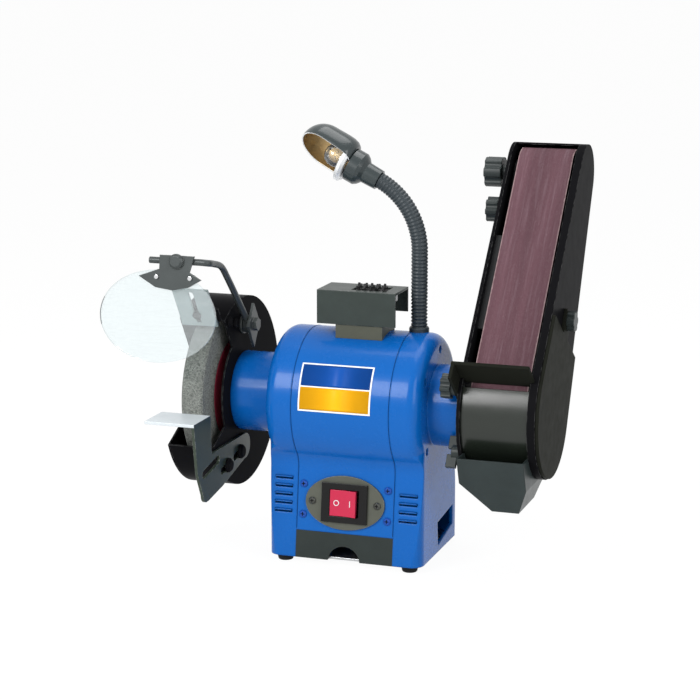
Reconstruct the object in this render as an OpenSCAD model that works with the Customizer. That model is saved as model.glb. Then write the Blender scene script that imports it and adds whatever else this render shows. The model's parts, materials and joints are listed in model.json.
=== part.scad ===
// Bench grinder with a belt sander arm.
// X runs along the motor shaft, the front is -Y, Z = 0 is the bench under the feet.
// The origin is the centre of the four foot bolts. All sizes are in millimetres.

/* [Motor housing] */
// Height of the shaft above the bench
shaft_h = 142; // [136:0.5:156]
// Radius of the round motor housing
motor_r = 63; // [58:0.5:72]
// Half the width of the middle housing shell
shell_half = 45; // [40:0.5:52]
// Half the width over both end caps
body_half = 71; // [68:0.5:78]
// Thickness of the housing walls
wall = 3.5; // [3:0.25:5]
// Depth of the base in front of the shaft
base_front = 52; // [50:0.5:60]
// Depth of the base behind the shaft
base_rear = 66; // [60:0.5:76]
// Inward lean of the base's front wall, in degrees
lean_front = 6.6; // [4:0.2:9]
// Inward lean of the base's rear wall, in degrees
lean_rear = 10; // [6:0.5:14]
// Radius of the waist between motor and base
waist_r = 20; // [16:1:28]
// Radius of the end caps' outer edges
cap_edge = 11; // [8:0.5:14]

/* [Shaft bosses] */
// Radius of the boss tubes on both end caps
boss_r = 36; // [34:0.5:40]
// Distance from the middle to the left boss end
boss_left = 112; // [106:0.5:114]
// Distance from the middle to the right boss end
boss_right = 103; // [99:0.5:104]
// Radius of the spigot that the sander arm turns on
spigot_r = 26; // [23:0.5:30]

/* [Shaft and bearings] */
// Radius of the shaft in its bearings
shaft_r = 7.5; // [6.5:0.25:9]
// Radius of the threaded shaft ends
stub_r = 6; // [5:0.25:6.5]
// Outer radius of the ball bearings
bearing_r = 17.5; // [15:0.5:20]
// Width of the ball bearings
bearing_w = 11; // [9:1:14]
// Running clearance of shafts and axles in their bores
run_gap = 0.05; // [0.02:0.01:0.1]

/* [Grinding wheel] */
// Radius of the grinding wheel
wheel_r = 75; // [65:1:78]
// Width of the grinding wheel
wheel_w = 20; // [16:1:20]
// Distance from the middle to the wheel's inner face
wheel_x = 123; // [121.5:0.5:124]
// Radius of the paper labels on the wheel
label_r = 47; // [35:1:55]

/* [Wheel guard] */
// Outer radius of the wheel guard
guard_r = 86; // [82:0.5:92]
// Thickness of the guard's sheet metal
guard_t = 1.5; // [1:0.25:2.5]
// Distance from the middle to the guard's outer face
guard_x = 155; // [154:0.5:162]
// Upper end of the guard's front opening, in degrees above the front
guard_top = 57; // [50:1:65]
// Lower end of the guard's front opening, in degrees above the front
guard_low = -25; // [-35:1:-15]

/* [Grinder tool rest] */
// Width of the rest along the shaft
rest_w = 46; // [42:1:46]
// Depth of the rest
rest_d = 37; // [32:1:45]
// Distance from the shaft to the rest's inner edge
rest_in = 88.5; // [86:0.5:96]
// Distance of the rest's top below the shaft
rest_drop = 4; // [0:0.5:8]
// Thickness of the rest and its arm
rest_t = 2.5; // [2:0.25:3]

/* [Eye shield] */
// Half the width of the clear shield
shield_a = 54; // [45:1:60]
// Half the height of the clear shield
shield_b = 40; // [34:1:46]
// Radius of the shield's rod
rod_r = 3; // [2.5:0.25:3.5]

/* [Belt arm] */
// Lean of the belt arm behind the vertical, in degrees
arm_lean = 33.5; // [20:0.5:45]
// Distance from the drive drum's axis to the idler's axis
belt_c = 230; // [215:1:250]
// Radius of the drive drum
drum_r = 49; // [46:0.5:51]
// Radius of the idler roller
idler_r = 22; // [19:0.5:23]
// Width of the sanding belt
belt_w = 50; // [46:1:51]
// Thickness of the sanding belt
belt_t = 1; // [0.8:0.1:1.2]
// Outer radius of the housing around the drive drum
cover_r = 58; // [57:0.5:62]
// Outer radius of the housing around the idler
tip_r = 28; // [27:0.5:32]
// Distance from the middle to the belt housing's outer face
arm_x = 172; // [172:0.5:180]

/* [Lamp] */
// Radius of the flexible neck
neck_r = 7.5; // [6:0.5:9]
// Radius of the bend in the neck
neck_bend = 68; // [55:1:80]
// Radius of the lamp shade
shade_r = 21.5; // [20:0.5:24]

/* [Base] */
// Half the distance between the left and right feet
foot_x = 58; // [54:0.5:60]
// Half the distance between the front and rear feet
foot_y = 41; // [36:0.5:41.5]
// Height of the rubber feet
foot_h = 6; // [5:0.5:9]
// Radius of the holes for the bench bolts
bolt_hole_r = 3.5; // [2.5:0.25:4]

/* [Hidden] */
$fn = 64;
// Overlap of cutting shapes past the faces that they cut
eps = 1;
// Gap between faces of pieces that move past each other
slip = 0.3;
// Depth by which joined shapes overlap where one runs smoothly into the other
skin = 0.05;

blue = [0.05, 0.22, 0.72];
dark = [0.16, 0.18, 0.17];
black = [0.06, 0.06, 0.07];
steel = [0.72, 0.73, 0.75];
rubber = [0.08, 0.08, 0.08];

// ---- housing outline: a motor circle on a tapered base with concave waists ----
motor_c = [0, shaft_h];
foot_front = [-base_front, foot_h];
foot_rear = [base_rear, foot_h];
up_front = [sin(lean_front), cos(lean_front)];
up_rear = [-sin(lean_rear), cos(lean_rear)];
out_front = [-up_front.y, up_front.x];
out_rear = [up_rear.y, -up_rear.x];

// Distance along a base wall to where the waist circle leaves it
function waist_run(foot, up, out) =
    let(w = foot + out * waist_r - motor_c, b = w * up, c = w * w - pow(motor_r + waist_r, 2))
    -b - sqrt(b * b - c);
function waist_c(foot, up, out) = foot + out * waist_r + up * waist_run(foot, up, out);
waist_front = waist_c(foot_front, up_front, out_front);
waist_rear = waist_c(foot_rear, up_rear, out_rear);
// Where a base wall, moved in by i, meets the height z
function wall_at(foot, up, out, i, z) = foot - out * i + up * ((z - (foot - out * i).y) / up.y);
function on_motor(c) = motor_c + (c - motor_c) * motor_r / (motor_r + waist_r);

function unit(v) = v / norm(v);

// Extrudes a (y, z) outline along X
module x_span(x0, x1) {
    translate([x0, 0, 0])
        rotate([90, 0, 90])
            linear_extrude(x1 - x0)
                children();
}

// A cylinder along X from x0 to x1 about the point p = [y, z]
module x_rod(r, x0, x1, p = [0, 0], sides = 64) {
    translate([x0, p.x, p.y])
        rotate([0, 90, 0])
            cylinder(r = r, h = x1 - x0, $fn = sides);
}

// The same about the shaft
module on_shaft(r, x0, x1, sides = 64) {
    x_rod(r, x0, x1, [0, shaft_h], sides);
}

// The housing's solid form from x0 to x1, shrunk by i and reaching down to z0
module housing_prism(x0, x1, i = 0, z0 = foot_h) {
    difference() {
        union() {
            on_shaft(motor_r - i, x0, x1, 96);
            x_span(x0, x1)
                polygon([
                    wall_at(foot_front, up_front, out_front, i, z0),
                    waist_front - out_front * (waist_r + i),
                    on_motor(waist_front) + unit(motor_c - waist_front) * i,
                    motor_c,
                    on_motor(waist_rear) + unit(motor_c - waist_rear) * i,
                    waist_rear - out_rear * (waist_r + i),
                    wall_at(foot_rear, up_rear, out_rear, i, z0)
                ]);
        }
        for (c = [waist_front, waist_rear])
            x_rod(waist_r + i + (i > 0 ? -5 : 1) * skin, x0 - eps, x1 + eps, c, 96);
    }
}

// A hexagon along X about the shaft
module hex_on_shaft(across, x0, x1) {
    x_rod(across / 2 / cos(30), x0, x1, [0, shaft_h], 6);
}

// A tube swept along points, each ring square to the path
module tube(path, r, sides) {
    n = len(path);
    function dir(i) = unit(path[min(i + 1, n - 1)] - path[max(i - 1, 0)]);
    function side(i) = unit(cross(dir(i), abs(dir(i).y) < 0.9 ? [0, 1, 0] : [0, 0, 1]));
    rings = [
        for (i = [0 : n - 1], k = [0 : sides - 1])
            let(a = 360 * k / sides, u = side(i), v = cross(dir(i), u))
            path[i] + (u * cos(a) + v * sin(a)) * r
    ];
    walls = [
        for (i = [0 : n - 2], k = [0 : sides - 1])
            let(a = i * sides + k, b = i * sides + (k + 1) % sides)
            each [[a, a + sides, b], [b, a + sides, b + sides]]
    ];
    polyhedron(rings, concat(
        walls,
        [[for (k = [0 : sides - 1]) k]],
        [[for (k = [sides - 1 : -1 : 0]) (n - 1) * sides + k]]
    ));
}

// A round knob with finger scallops, along +Z
module star_knob(r, h, lobes) {
    difference() {
        cylinder(r = r, h = h);
        for (a = [0 : lobes - 1])
            rotate(360 * (a + 0.5) / lobes)
                translate([r * 1.1, 0, -eps])
                    cylinder(r = r * 0.28, h = h + 2 * eps, $fn = 24);
    }
}

// A domed screw head on a shank, along +Z with the head's seat at z = 0
module screw(head_r, head_h, shank_r, shank_l) {
    rotate_extrude($fn = 24)
        polygon([
            [0, -shank_l], [shank_r, -shank_l], [shank_r, 0], [head_r, 0],
            [head_r, head_h * 0.5], [head_r * 0.7, head_h], [0, head_h]
        ]);
}

// ---- motor housing ----
cap_gap = 0.2;
vent_h = 3;
vent_pitch = 7.4;
vent_z = 45;
vent_x = [shell_half + 4.5, body_half - 5];
cover_h = 24.5;
switch_z = 58;
screw_hole_r = 49;
cap_inner = body_half - wall;

module motor_shell() {
    color(blue)
        difference() {
            housing_prism(-shell_half, shell_half);
            housing_prism(-shell_half - eps, shell_half + eps, wall, -eps);
            // the dark front cover takes the place of the wall down here
            translate([-shell_half - eps, -base_front - eps, foot_h - eps])
                cube([2 * (shell_half + eps), base_front, cover_h + eps]);
            on_front(switch_z)
                translate([0, 0, -wall - eps])
                    linear_extrude(wall + 3 * eps)
                        square([switch_hole.x, switch_hole.y], center = true);
            for (x = [-1, 1])
                on_front(switch_z)
                    translate([x * switch_screw_x, 0, -wall - eps])
                        cylinder(r = 1.9, h = wall + 3 * eps, $fn = 24);
            for (p = shell_screw_at)
                on_front(p.y)
                    translate([p.x, 0, -wall - eps])
                        cylinder(r = shell_screw_r, h = wall + 3 * eps, $fn = 24);
            translate([gland_x, base_rear, gland_z])
                rotate([90, 0, 0])
                    cylinder(r = gland_r, h = base_rear / 2);
        }
}

// Places things on the leaning front wall at height z, with +Z out of the wall
module on_front(z) {
    p = wall_at(foot_front, up_front, out_front, 0, z);
    translate([0, p.x, p.y])
        rotate([90 - lean_front, 0, 0])
            children();
}

// A round end cap without its openings, from x0 outwards, shrunk by i
module cap_body(x0, i) {
    r = motor_r - i;
    x1 = body_half - i;
    e = cap_edge - i;
    translate([0, 0, shaft_h])
        rotate([0, 90, 0])
            rotate_extrude($fn = 96)
                union() {
                    translate([0, x0])
                        square([r, x1 - e - x0]);
                    translate([0, x1 - e - eps])
                        square([r - e, e + eps]);
                    translate([r - e, x1 - e])
                        circle(e, $fn = 48);
                }
    intersection() {
        housing_prism(x0, x1, i, foot_h - (i > 0 ? eps : 0));
        plan_block(x0 - eps, x1, i);
        translate([0, -base_front - base_rear, 0])
            cube([x1 + eps, 2 * (base_front + base_rear), on_motor(waist_rear).y]);
    }
}

// A tall block whose far vertical edges are rounded
module plan_block(x0, x1, i) {
    e = cap_edge - i;
    y0 = -base_front + i;
    y1 = base_rear - i;
    linear_extrude(shaft_h)
        union() {
            translate([x0, y0])
                square([x1 - e - x0, y1 - y0]);
            translate([x0, y0 + e])
                square([x1 - x0, y1 - y0 - 2 * e]);
            for (y = [y0 + e, y1 - e])
                translate([x1 - e, y])
                    circle(e, $fn = 48);
        }
}

// One end cap, drawn for the right side, with its boss out to boss_x
module end_cap(boss_x, vents, open_side) {
    seat_x = boss_x - bearing_lip - bearing_w;
    difference() {
        union() {
            difference() {
                cap_body(shell_half, 0);
                cap_body(shell_half - eps, wall);
            }
            on_shaft(boss_r, cap_inner - 2, boss_x);
            for (p = cap_screw_at)
                x_rod(cap_screw_r + 2.5, shell_half + 2, body_half - 2, p, 32);
        }
        // hollow boss, bearing seat and shaft hole
        on_shaft(boss_r - wall, cap_inner - 2 - eps, seat_x - wall);
        on_shaft(bearing_r - bearing_lip, cap_inner, boss_x + spigot_l + eps);
        on_shaft(bearing_r, seat_x, seat_x + bearing_w);
        for (k = [0 : vents - 1])
            translate([vent_x[0], -base_front - eps, vent_z + k * vent_pitch])
                cube([vent_x[1] - vent_x[0], wall + 12, vent_h]);
        for (p = cap_screw_at) {
            x_rod(cap_screw_r, cap_screw_x, body_half + eps, p, 32);
            x_rod(cap_shank_r, shell_half, cap_screw_x + eps, p, 24);
        }
        if (open_side)
            x_span(cap_inner - eps, body_half + eps) side_window();
    }
}

// The slanting window in a cap's side wall
module side_window() {
    polygon([[2, foot_h + 6], [0, foot_h + 28], [48, foot_h + 32], [48, foot_h + 14]]);
}

bearing_lip = 3;
spigot_l = 3.6;
cap_screw_r = 3.5;
cap_shank_r = 2;
cap_screw_x = 60;
cap_screw_at = [for (a = [86, 145, 225, 325]) motor_c + [cos(a), sin(a)] * screw_hole_r];

module end_cap_left() {
    color(blue)
        difference() {
            mirror([1, 0, 0])
                end_cap(boss_left, 5, false);
            for (a = guard_screw_a)
                x_rod(2, -boss_left - eps, -boss_left + 6, motor_c + [cos(a), sin(a)] * 28, 24);
        }
}

module end_cap_right() {
    color(blue)
        difference() {
            union() {
                end_cap(boss_right, 4, true);
                difference() {
                    on_shaft(spigot_r, boss_right - eps, boss_right + spigot_l);
                    on_shaft(bearing_r - bearing_lip, boss_right - 2 * eps, boss_right + spigot_l + eps);
                }
            }
            lamp_hole();
        }
}

module base_cover() {
    arch_r = 15;
    arch_drop = 2;
    color(dark)
        difference() {
            intersection() {
                difference() {
                    housing_prism(-shell_half, shell_half);
                    housing_prism(-shell_half - eps, shell_half + eps, wall, -eps);
                }
                translate([-shell_half, -base_front - eps, foot_h])
                    cube([2 * shell_half, base_front / 2, cover_h - cap_gap]);
            }
            translate([0, 0, foot_h - arch_drop])
                rotate([90, 0, 0])
                    cylinder(r = arch_r, h = base_front + eps);
        }
}

plate_t = 2;
module base_plate() {
    y0 = wall_at(foot_front, up_front, out_front, wall, foot_h + plate_t).x + cap_gap;
    y1 = wall_at(foot_rear, up_rear, out_rear, wall, foot_h + plate_t).x - cap_gap;
    x1 = cap_inner - cap_gap;
    e = cap_edge - wall;
    color(steel) {
        // cradles of the capacitor
        for (x = [-20, 14])
            difference() {
                translate([x, cap_can_at.x - 10, foot_h + plate_t - 0.5])
                    cube([6, 20, 6]);
                x_rod(cap_can_r, x - eps, x + 7, cap_can_at);
            }
        translate([0, 0, foot_h])
            linear_extrude(plate_t)
                difference() {
                    union() {
                        translate([-x1 + e, y0])
                            square([2 * (x1 - e), y1 - y0]);
                        translate([-x1, y0 + e])
                            square([2 * x1, y1 - y0 - 2 * e]);
                    }
                    for (x = [-1, 1], y = [-1, 1])
                        translate([x * foot_x, y * foot_y])
                            circle(bolt_hole_r);
                }
    }
}

foot_r = 8;
module rubber_feet() {
    color(rubber)
        for (x = [-1, 1], y = [-1, 1])
            translate([x * foot_x, y * foot_y, 0])
                difference() {
                    rotate_extrude()
                        polygon([[0, 0], [foot_r - 1.5, 0], [foot_r, foot_h], [0, foot_h]]);
                    translate([0, 0, -eps])
                        cylinder(r = bolt_hole_r, h = foot_h + 2 * eps);
                }
}

// ---- switch ----
switch_hole = [38, 30];
switch_a = 36.5;
switch_b = 24;
switch_t = 2;
frame_size = [42, 35];
rocker_size = [26, 23];
switch_screw_x = 30;
shell_screw_r = 2;
shell_screw_at = [[-39, 72], [-39, 45], [39, 72], [39, 45]];

function ellipse(a, b, n) = [for (i = [0 : n - 1]) [a * cos(360 * i / n), b * sin(360 * i / n)]];

module switch_plate() {
    color(dark)
        on_front(switch_z)
            difference() {
                linear_extrude(switch_t)
                    polygon(ellipse(switch_a, switch_b, 64));
                translate([0, 0, -eps])
                    linear_extrude(switch_t + 2 * eps)
                        square([switch_hole.x, switch_hole.y], center = true);
                for (x = [-1, 1])
                    translate([x * switch_screw_x, 0, -eps])
                        cylinder(r = 2, h = switch_t + 2 * eps, $fn = 24);
            }
}

module switch_frame() {
    color(black)
        on_front(switch_z)
            difference() {
                union() {
                    translate([0, 0, switch_t])
                        linear_extrude(2.5)
                            square([frame_size.x, frame_size.y], center = true);
                    translate([0, 0, -16])
                        linear_extrude(16 + switch_t + eps)
                            square([switch_hole.x - 0.4, switch_hole.y - 0.4], center = true);
                }
                translate([0, 0, -10])
                    linear_extrude(20)
                        square([rocker_size.x + 1, rocker_size.y + 1], center = true);
                translate([0, 0, rocker_axis])
                    rotate([90, 0, 0])
                        cylinder(r = rocker_pin_r + run_gap, h = rocker_pin_l + 0.2, center = true, $fn = 24);
            }
}

rocker_axis = 2;
rocker_rest = 7;
rocker_pin_r = 1.5;
rocker_pin_l = rocker_size.y + 4;
module switch_rocker() {
    color([0.8, 0.05, 0.12])
        on_front(switch_z)
            translate([0, 0, rocker_axis])
                rotate([0, -rocker_rest, 0])
                    rotate([90, 0, 0]) {
                        cylinder(r = rocker_pin_r, h = rocker_pin_l, center = true, $fn = 24);
                        translate([0, 0, -rocker_size.y / 2])
                            linear_extrude(rocker_size.y)
                                polygon([
                                    [-rocker_size.x / 2 + 0.6, 4.6], [0, 2.6],
                                    [rocker_size.x / 2 - 0.6, 4.6],
                                    [rocker_size.x / 2 - 2.5, -3], [5, -8], [-5, -8],
                                    [-rocker_size.x / 2 + 2.5, -3]
                                ]);
                    }
}

module switch_screws() {
    color(steel)
        on_front(switch_z)
            for (x = [-1, 1])
                translate([x * switch_screw_x, 0, switch_t])
                    screw(3.2, 2, 1.9, wall + switch_t - 0.5);
}

module housing_screws() {
    color(blue) {
        for (p = shell_screw_at)
            on_front(p.y)
                translate([p.x, 0, 0])
                    screw(3.4, 2, shell_screw_r, wall + 4);
        for (s = [-1, 1], p = cap_screw_at)
            translate([s * cap_screw_x, p.x, p.y])
                rotate([0, 90 * s, 0])
                    screw(3.3, 2.5, cap_shank_r, 11);
    }
}

// ---- name plate: a bare two-colour label bent round the motor ----
label_x = [-38, 28];
label_a = [0.5, 39.5];
label_t = 0.5;
module name_plate() {
    color([0.95, 0.72, 0.1])
        x_span(label_x[0], label_x[1])
            translate(motor_c)
                sector_ring(motor_r, motor_r + label_t, 180 - label_a[1], 180 - label_a[0]);
}

// A ring between two radii and two angles, in degrees from +y towards +z
module sector_ring(r0, r1, a0, a1) {
    n = max(2, ceil((a1 - a0) / 30));
    intersection() {
        difference() {
            circle(r1, $fn = 96);
            circle(r0, $fn = 96);
        }
        polygon(concat(
            [[0, 0]],
            [for (i = [0 : n]) let(a = a0 + (a1 - a0) * i / n) [cos(a), sin(a)] * r1 * 1.5]
        ));
    }
}

// ---- cable inlet at the rear ----
gland_x = -20;
gland_z = 30;
gland_r = 8;
module cable_gland() {
    p = wall_at(foot_rear, up_rear, out_rear, 0, gland_z);
    color(black)
        translate([gland_x, p.x, gland_z])
            rotate([-90, 0, 0])
                difference() {
                    union() {
                        translate([0, 0, -9])
                            cylinder(r = gland_r - 0.1, h = 12);
                        translate([0, 0, 2])
                            cylinder(r = 11, h = 4, $fn = 6);
                        translate([0, 0, 5.5])
                            cylinder(r1 = 8, r2 = 6.5, h = 6, $fn = 48);
                    }
                    translate([0, 0, -10])
                        cylinder(r = 4, h = 30, $fn = 32);
                }
}

// ---- motor inside ----
stator_r = motor_r - wall;
air_gap = 0.4;
rotor_r = 30;
stack_half = 25;
shaft_core_r = shaft_r + 1.5;

module stator_core() {
    slots = 12;
    color([0.45, 0.45, 0.47])
        difference() {
            on_shaft(stator_r, -stack_half, stack_half, 96);
            on_shaft(rotor_r + air_gap, -stack_half - eps, stack_half + eps);
            for (k = [0 : slots - 1])
                translate([0, 0, shaft_h])
                    rotate([360 * k / slots, 0, 0])
                        translate([-stack_half - eps, -3.5, rotor_r + 4])
                            cube([2 * (stack_half + eps), 7, 12]);
        }
}

module stator_windings() {
    color([0.72, 0.35, 0.12])
        for (s = [-1, 1])
            translate([s * (stack_half + 8), 0, shaft_h])
                rotate([0, 90, 0])
                    rotate_extrude()
                        translate([rotor_r + 13, 0])
                            union() {
                                square([14, 8], center = true);
                                square([10, 16], center = true);
                            }
}

module rotor_core() {
    color([0.55, 0.55, 0.58])
        difference() {
            union() {
                on_shaft(rotor_r, -stack_half, stack_half);
                on_shaft(rotor_r - 4, -stack_half - 6, stack_half + 6);
            }
            on_shaft(shaft_core_r, -stack_half - 7, stack_half + 7);
        }
}

flange_t = 4;
hub_l = wheel_x - flange_t - label_t;
drum_x = [112.5, 161.5];
shaft_end = [-152.8, 168];
module rotor_shaft() {
    color(steel) {
        on_shaft(shaft_core_r, -(boss_left - bearing_lip - bearing_w), boss_right - bearing_lip - bearing_w);
        on_shaft(shaft_r, -hub_l, drum_x[0]);
        on_shaft(stub_r, shaft_end[0], shaft_end[1]);
    }
}

module bearing(x0) {
    groove = 0.4;
    difference() {
        on_shaft(bearing_r, x0, x0 + bearing_w);
        on_shaft(shaft_r + run_gap, x0 - eps, x0 + bearing_w + eps);
        for (x = [x0 - eps, x0 + bearing_w - groove])
            difference() {
                on_shaft(bearing_r - 3, x, x + groove + eps);
                on_shaft(shaft_r + 3, x - eps, x + groove + 2 * eps);
            }
    }
}

module bearings() {
    color(steel) {
        bearing(-(boss_left - bearing_lip));
        bearing(boss_right - bearing_lip - bearing_w);
    }
}

cap_can_r = 15;
cap_can_at = [26, foot_h + plate_t + cap_can_r + 0.1];
module run_capacitor() {
    color([0.85, 0.85, 0.85]) {
        x_rod(cap_can_r, -30, 30, cap_can_at);
        x_rod(cap_can_r - 4, 29, 34, cap_can_at);
    }
}

// ---- wheel guard ----
inner_open_r = 54;
outer_open_r = 42;
inner_x = boss_left + guard_t;
guard_bolt_at = [[-38, 70], [-24, 66]];
cover_screw_a = [100, 345, 228];
guard_screw_a = [90, 210, 330];
spark_bolt_r = 93;
spark_slot_w = 4.6;

// A (y, z) disc about the origin whose front is open from radius r outwards
module guard_face(r) {
    difference() {
        circle(guard_r, $fn = 96);
        difference() {
            polygon(concat(
                [[0, 0]],
                [for (i = [0 : 4]) let(a = guard_low + (guard_top - guard_low) * i / 4)
                    [-cos(a), sin(a)] * guard_r * 1.5]
            ));
            circle(r);
        }
    }
}

module about_shaft() {
    translate([0, 0, shaft_h])
        children();
}

module wheel_guard() {
    color(black) {
        difference() {
            about_shaft()
                x_span(-inner_x, -boss_left) guard_face(inner_open_r);
            on_shaft(20, -inner_x - eps, -boss_left + eps);
            for (p = guard_bolt_at)
                x_rod(2.5, -inner_x - eps, -boss_left + eps, p + motor_c, 24);
            for (a = guard_screw_a)
                x_rod(2, -inner_x - eps, -boss_left + eps, motor_c + [cos(a), sin(a)] * 28, 24);
            for (p = rest_bolt_at)
                x_rod(3, -inner_x - eps, -boss_left + eps, p + motor_c, 24);
            x_rod(rod_r, -inner_x - eps, -boss_left + eps, clamp_at + motor_c, 32);
        }
        about_shaft()
            x_span(-guard_x + guard_t, -boss_left)
                sector_ring(guard_r - guard_t, guard_r, -180 - guard_low, 180 - guard_top);
        // the turned-out lip that carries the spark arrester
        difference() {
            radial_plate(guard_r - guard_t, spark_bolt_r + 7, 0, guard_t, [-guard_x + guard_t, -boss_left - 3]);
            spark_hole(spark_slot_w / 2);
        }
    }
}

// A plate in the radial plane at the guard's upper edge, from radius r0 to r1.
// It lies between t0 and t1 behind that plane and spans x.
module radial_plate(r0, r1, t0, t1, x) {
    about_shaft()
        rotate([90 - guard_top, 0, 0])
            translate([x[0], t0, r0])
                cube([x[1] - x[0], t1 - t0, r1 - r0]);
}

module spark_hole(r) {
    about_shaft()
        rotate([90 - guard_top, 0, 0])
            translate([spark_mid, -10, spark_bolt_r])
                rotate([-90, 0, 0])
                    cylinder(r = r, h = 20, $fn = 24);
}

spark_w = 34;
spark_mid = -wheel_x - wheel_w / 2 - 3;
spark_t = 2;
spark_in = 80;
spark_out = 123;
spark_slot = [spark_bolt_r - 7, spark_out - 5];

module spark_arrester() {
    color([0.62, 0.66, 0.65])
        difference() {
            radial_plate(spark_in, spark_out, -spark_t, 0, [spark_mid - spark_w / 2, spark_mid + spark_w / 2]);
            about_shaft()
                rotate([90 - guard_top, 0, 0])
                    translate([spark_mid, -5, spark_slot[0]]) {
                        for (r = [0, spark_slot[1] - spark_slot[0]])
                            translate([0, 0, r])
                                rotate([-90, 0, 0])
                                    cylinder(r = spark_slot_w / 2, h = 10, $fn = 24);
                        translate([-spark_slot_w / 2, 0, 0])
                            cube([spark_slot_w, 10, spark_slot[1] - spark_slot[0]]);
                    }
        }
}

module guard_cover() {
    color(black)
        difference() {
            about_shaft()
                x_span(-guard_x, -guard_x + guard_t) guard_face(outer_open_r);
            for (a = cover_screw_a)
                x_rod(2, -guard_x - eps, -guard_x + 2 * eps, motor_c + [cos(a), sin(a)] * (guard_r - 8), 24);
        }
}

module guard_bolts() {
    color(steel) {
        // guard to boss
        for (a = guard_screw_a)
            translate([-inner_x, 28 * cos(a), shaft_h + 28 * sin(a)])
                rotate([0, -90, 0])
                    screw(3.8, 2.4, 2, guard_t + 5.5);
        // outer cover to guard
        for (a = cover_screw_a)
            translate([-guard_x, (guard_r - 8) * cos(a), shaft_h + (guard_r - 8) * sin(a)])
                rotate([0, -90, 0])
                    screw(3.8, 2.4, 1.9, guard_t + 6);
        // bolts above the opening
        for (p = guard_bolt_at)
            translate([-boss_left, p.x, shaft_h + p.y])
                rotate([0, 90, 0])
                    screw(4.2, 3, 2.4, guard_t + 3);
        // clamp bolts of the tool rest's arm
        for (p = rest_bolt_at)
            translate([-boss_left + rest_t, p.x, shaft_h + p.y])
                rotate([0, 90, 0])
                    screw(6.5, 4, 2.9, rest_t + guard_t + 3);
        // bolt of the spark arrester
        about_shaft()
            rotate([90 - guard_top, 0, 0])
                translate([spark_mid, -spark_t, spark_bolt_r])
                    rotate([90, 0, 0])
                        screw(4, 2.6, 2.1, spark_t + guard_t + 3);
    }
}

// ---- grinding wheel ----
module grinding_wheel() {
    e = 1.5;
    color([0.42, 0.43, 0.4])
        translate([-wheel_x, 0, shaft_h])
            rotate([0, -90, 0])
                rotate_extrude($fn = 96)
                    polygon([
                        [stub_r, 0], [wheel_r - e, 0], [wheel_r, e], [wheel_r, wheel_w - e],
                        [wheel_r - e, wheel_w], [stub_r, wheel_w]
                    ]);
}

module wheel_labels() {
    color([0.7, 0.1, 0.15])
        for (x = [-wheel_x, -wheel_x - wheel_w - label_t])
            difference() {
                on_shaft(label_r, x, x + label_t);
                on_shaft(stub_r, x - eps, x + label_t + eps);
            }
}

flange_r = 26;
module wheel_flanges() {
    out_x = -wheel_x - wheel_w - label_t;
    color(steel)
        difference() {
            union() {
                on_shaft(flange_r, -hub_l - flange_t, -hub_l);
                on_shaft(flange_r, out_x - flange_t + 1, out_x);
            }
            on_shaft(stub_r, out_x - 2 * flange_t, -hub_l + eps);
        }
}

nut_t = 5;
module shaft_nuts() {
    left_x = -wheel_x - wheel_w - label_t - flange_t + 1;
    color(steel) {
        difference() {
            hex_on_shaft(19, left_x - nut_t, left_x);
            on_shaft(stub_r, left_x - nut_t - eps, left_x + eps);
        }
        difference() {
            hex_on_shaft(19, drum_x[1], drum_x[1] + nut_t);
            on_shaft(stub_r, drum_x[1] - eps, drum_x[1] + nut_t + eps);
        }
    }
}

// ---- grinder tool rest ----
rest_tilt = 10;
rest_bolt_at = [[-50, -58], [-20, -52.7]];
rest_slot_r = 3.3;
rest_travel = 13;
rest_x1 = -boss_left + rest_t;

// A slot in (y, z) along the rest's sliding direction, about the shaft
module rest_slot(p, l, r) {
    d = [cos(rest_tilt), sin(rest_tilt)];
    for (s = [0, l])
        translate(p + d * s)
            circle(r, $fn = 32);
    polygon([for (c = [[0, -r], [l, -r], [l, r], [0, r]]) p + d * c.x + [-d.y, d.x] * c.y]);
}

module tool_rest() {
    d = [cos(rest_tilt), sin(rest_tilt)];
    front = -rest_in - rest_d;
    color([0.55, 0.58, 0.55]) {
        translate([rest_x1 - rest_w, front, shaft_h - rest_drop - rest_t])
            cube([rest_w, rest_d, rest_t]);
        about_shaft()
            x_span(-boss_left, rest_x1)
                difference() {
                    union() {
                        polygon([
                            [front, -rest_drop], [-rest_in, -rest_drop], [-rest_in + 2, -38.8],
                            [-10, -38.8], [-6, -61], [-62, -74], [-96, -79], [-105, -75], [-118, -50]
                        ]);
                        translate([-7, -50.3])
                            circle(11.5);
                        translate([-99, -71])
                            circle(8);
                    }
                    rest_slot([-104, -53], 32, 4);
                    rest_slot(rest_bolt_at[0] - d * (rest_travel + slip), rest_travel + slip, rest_slot_r);
                    rest_slot(rest_bolt_at[1] - d * (rest_travel + slip), rest_travel + slip, rest_slot_r);
                }
    }
}

// ---- eye shield on its rod ----
clamp_at = [-3, 62];
rod_x = -boss_left + 2 + rod_r;
run_at = [-97, 132];
run_end = -160;
shield_tilt = 8;
shield_t = 2;
shield_mid = -150;
dome_x = -136;

function rod_bend(p, q, r, s, n) = [for (i = [1 : n - 1]) let(t = i / n)
    pow(1 - t, 3) * p + 3 * t * pow(1 - t, 2) * q + 3 * t * t * (1 - t) * r + t * t * t * s];

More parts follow.
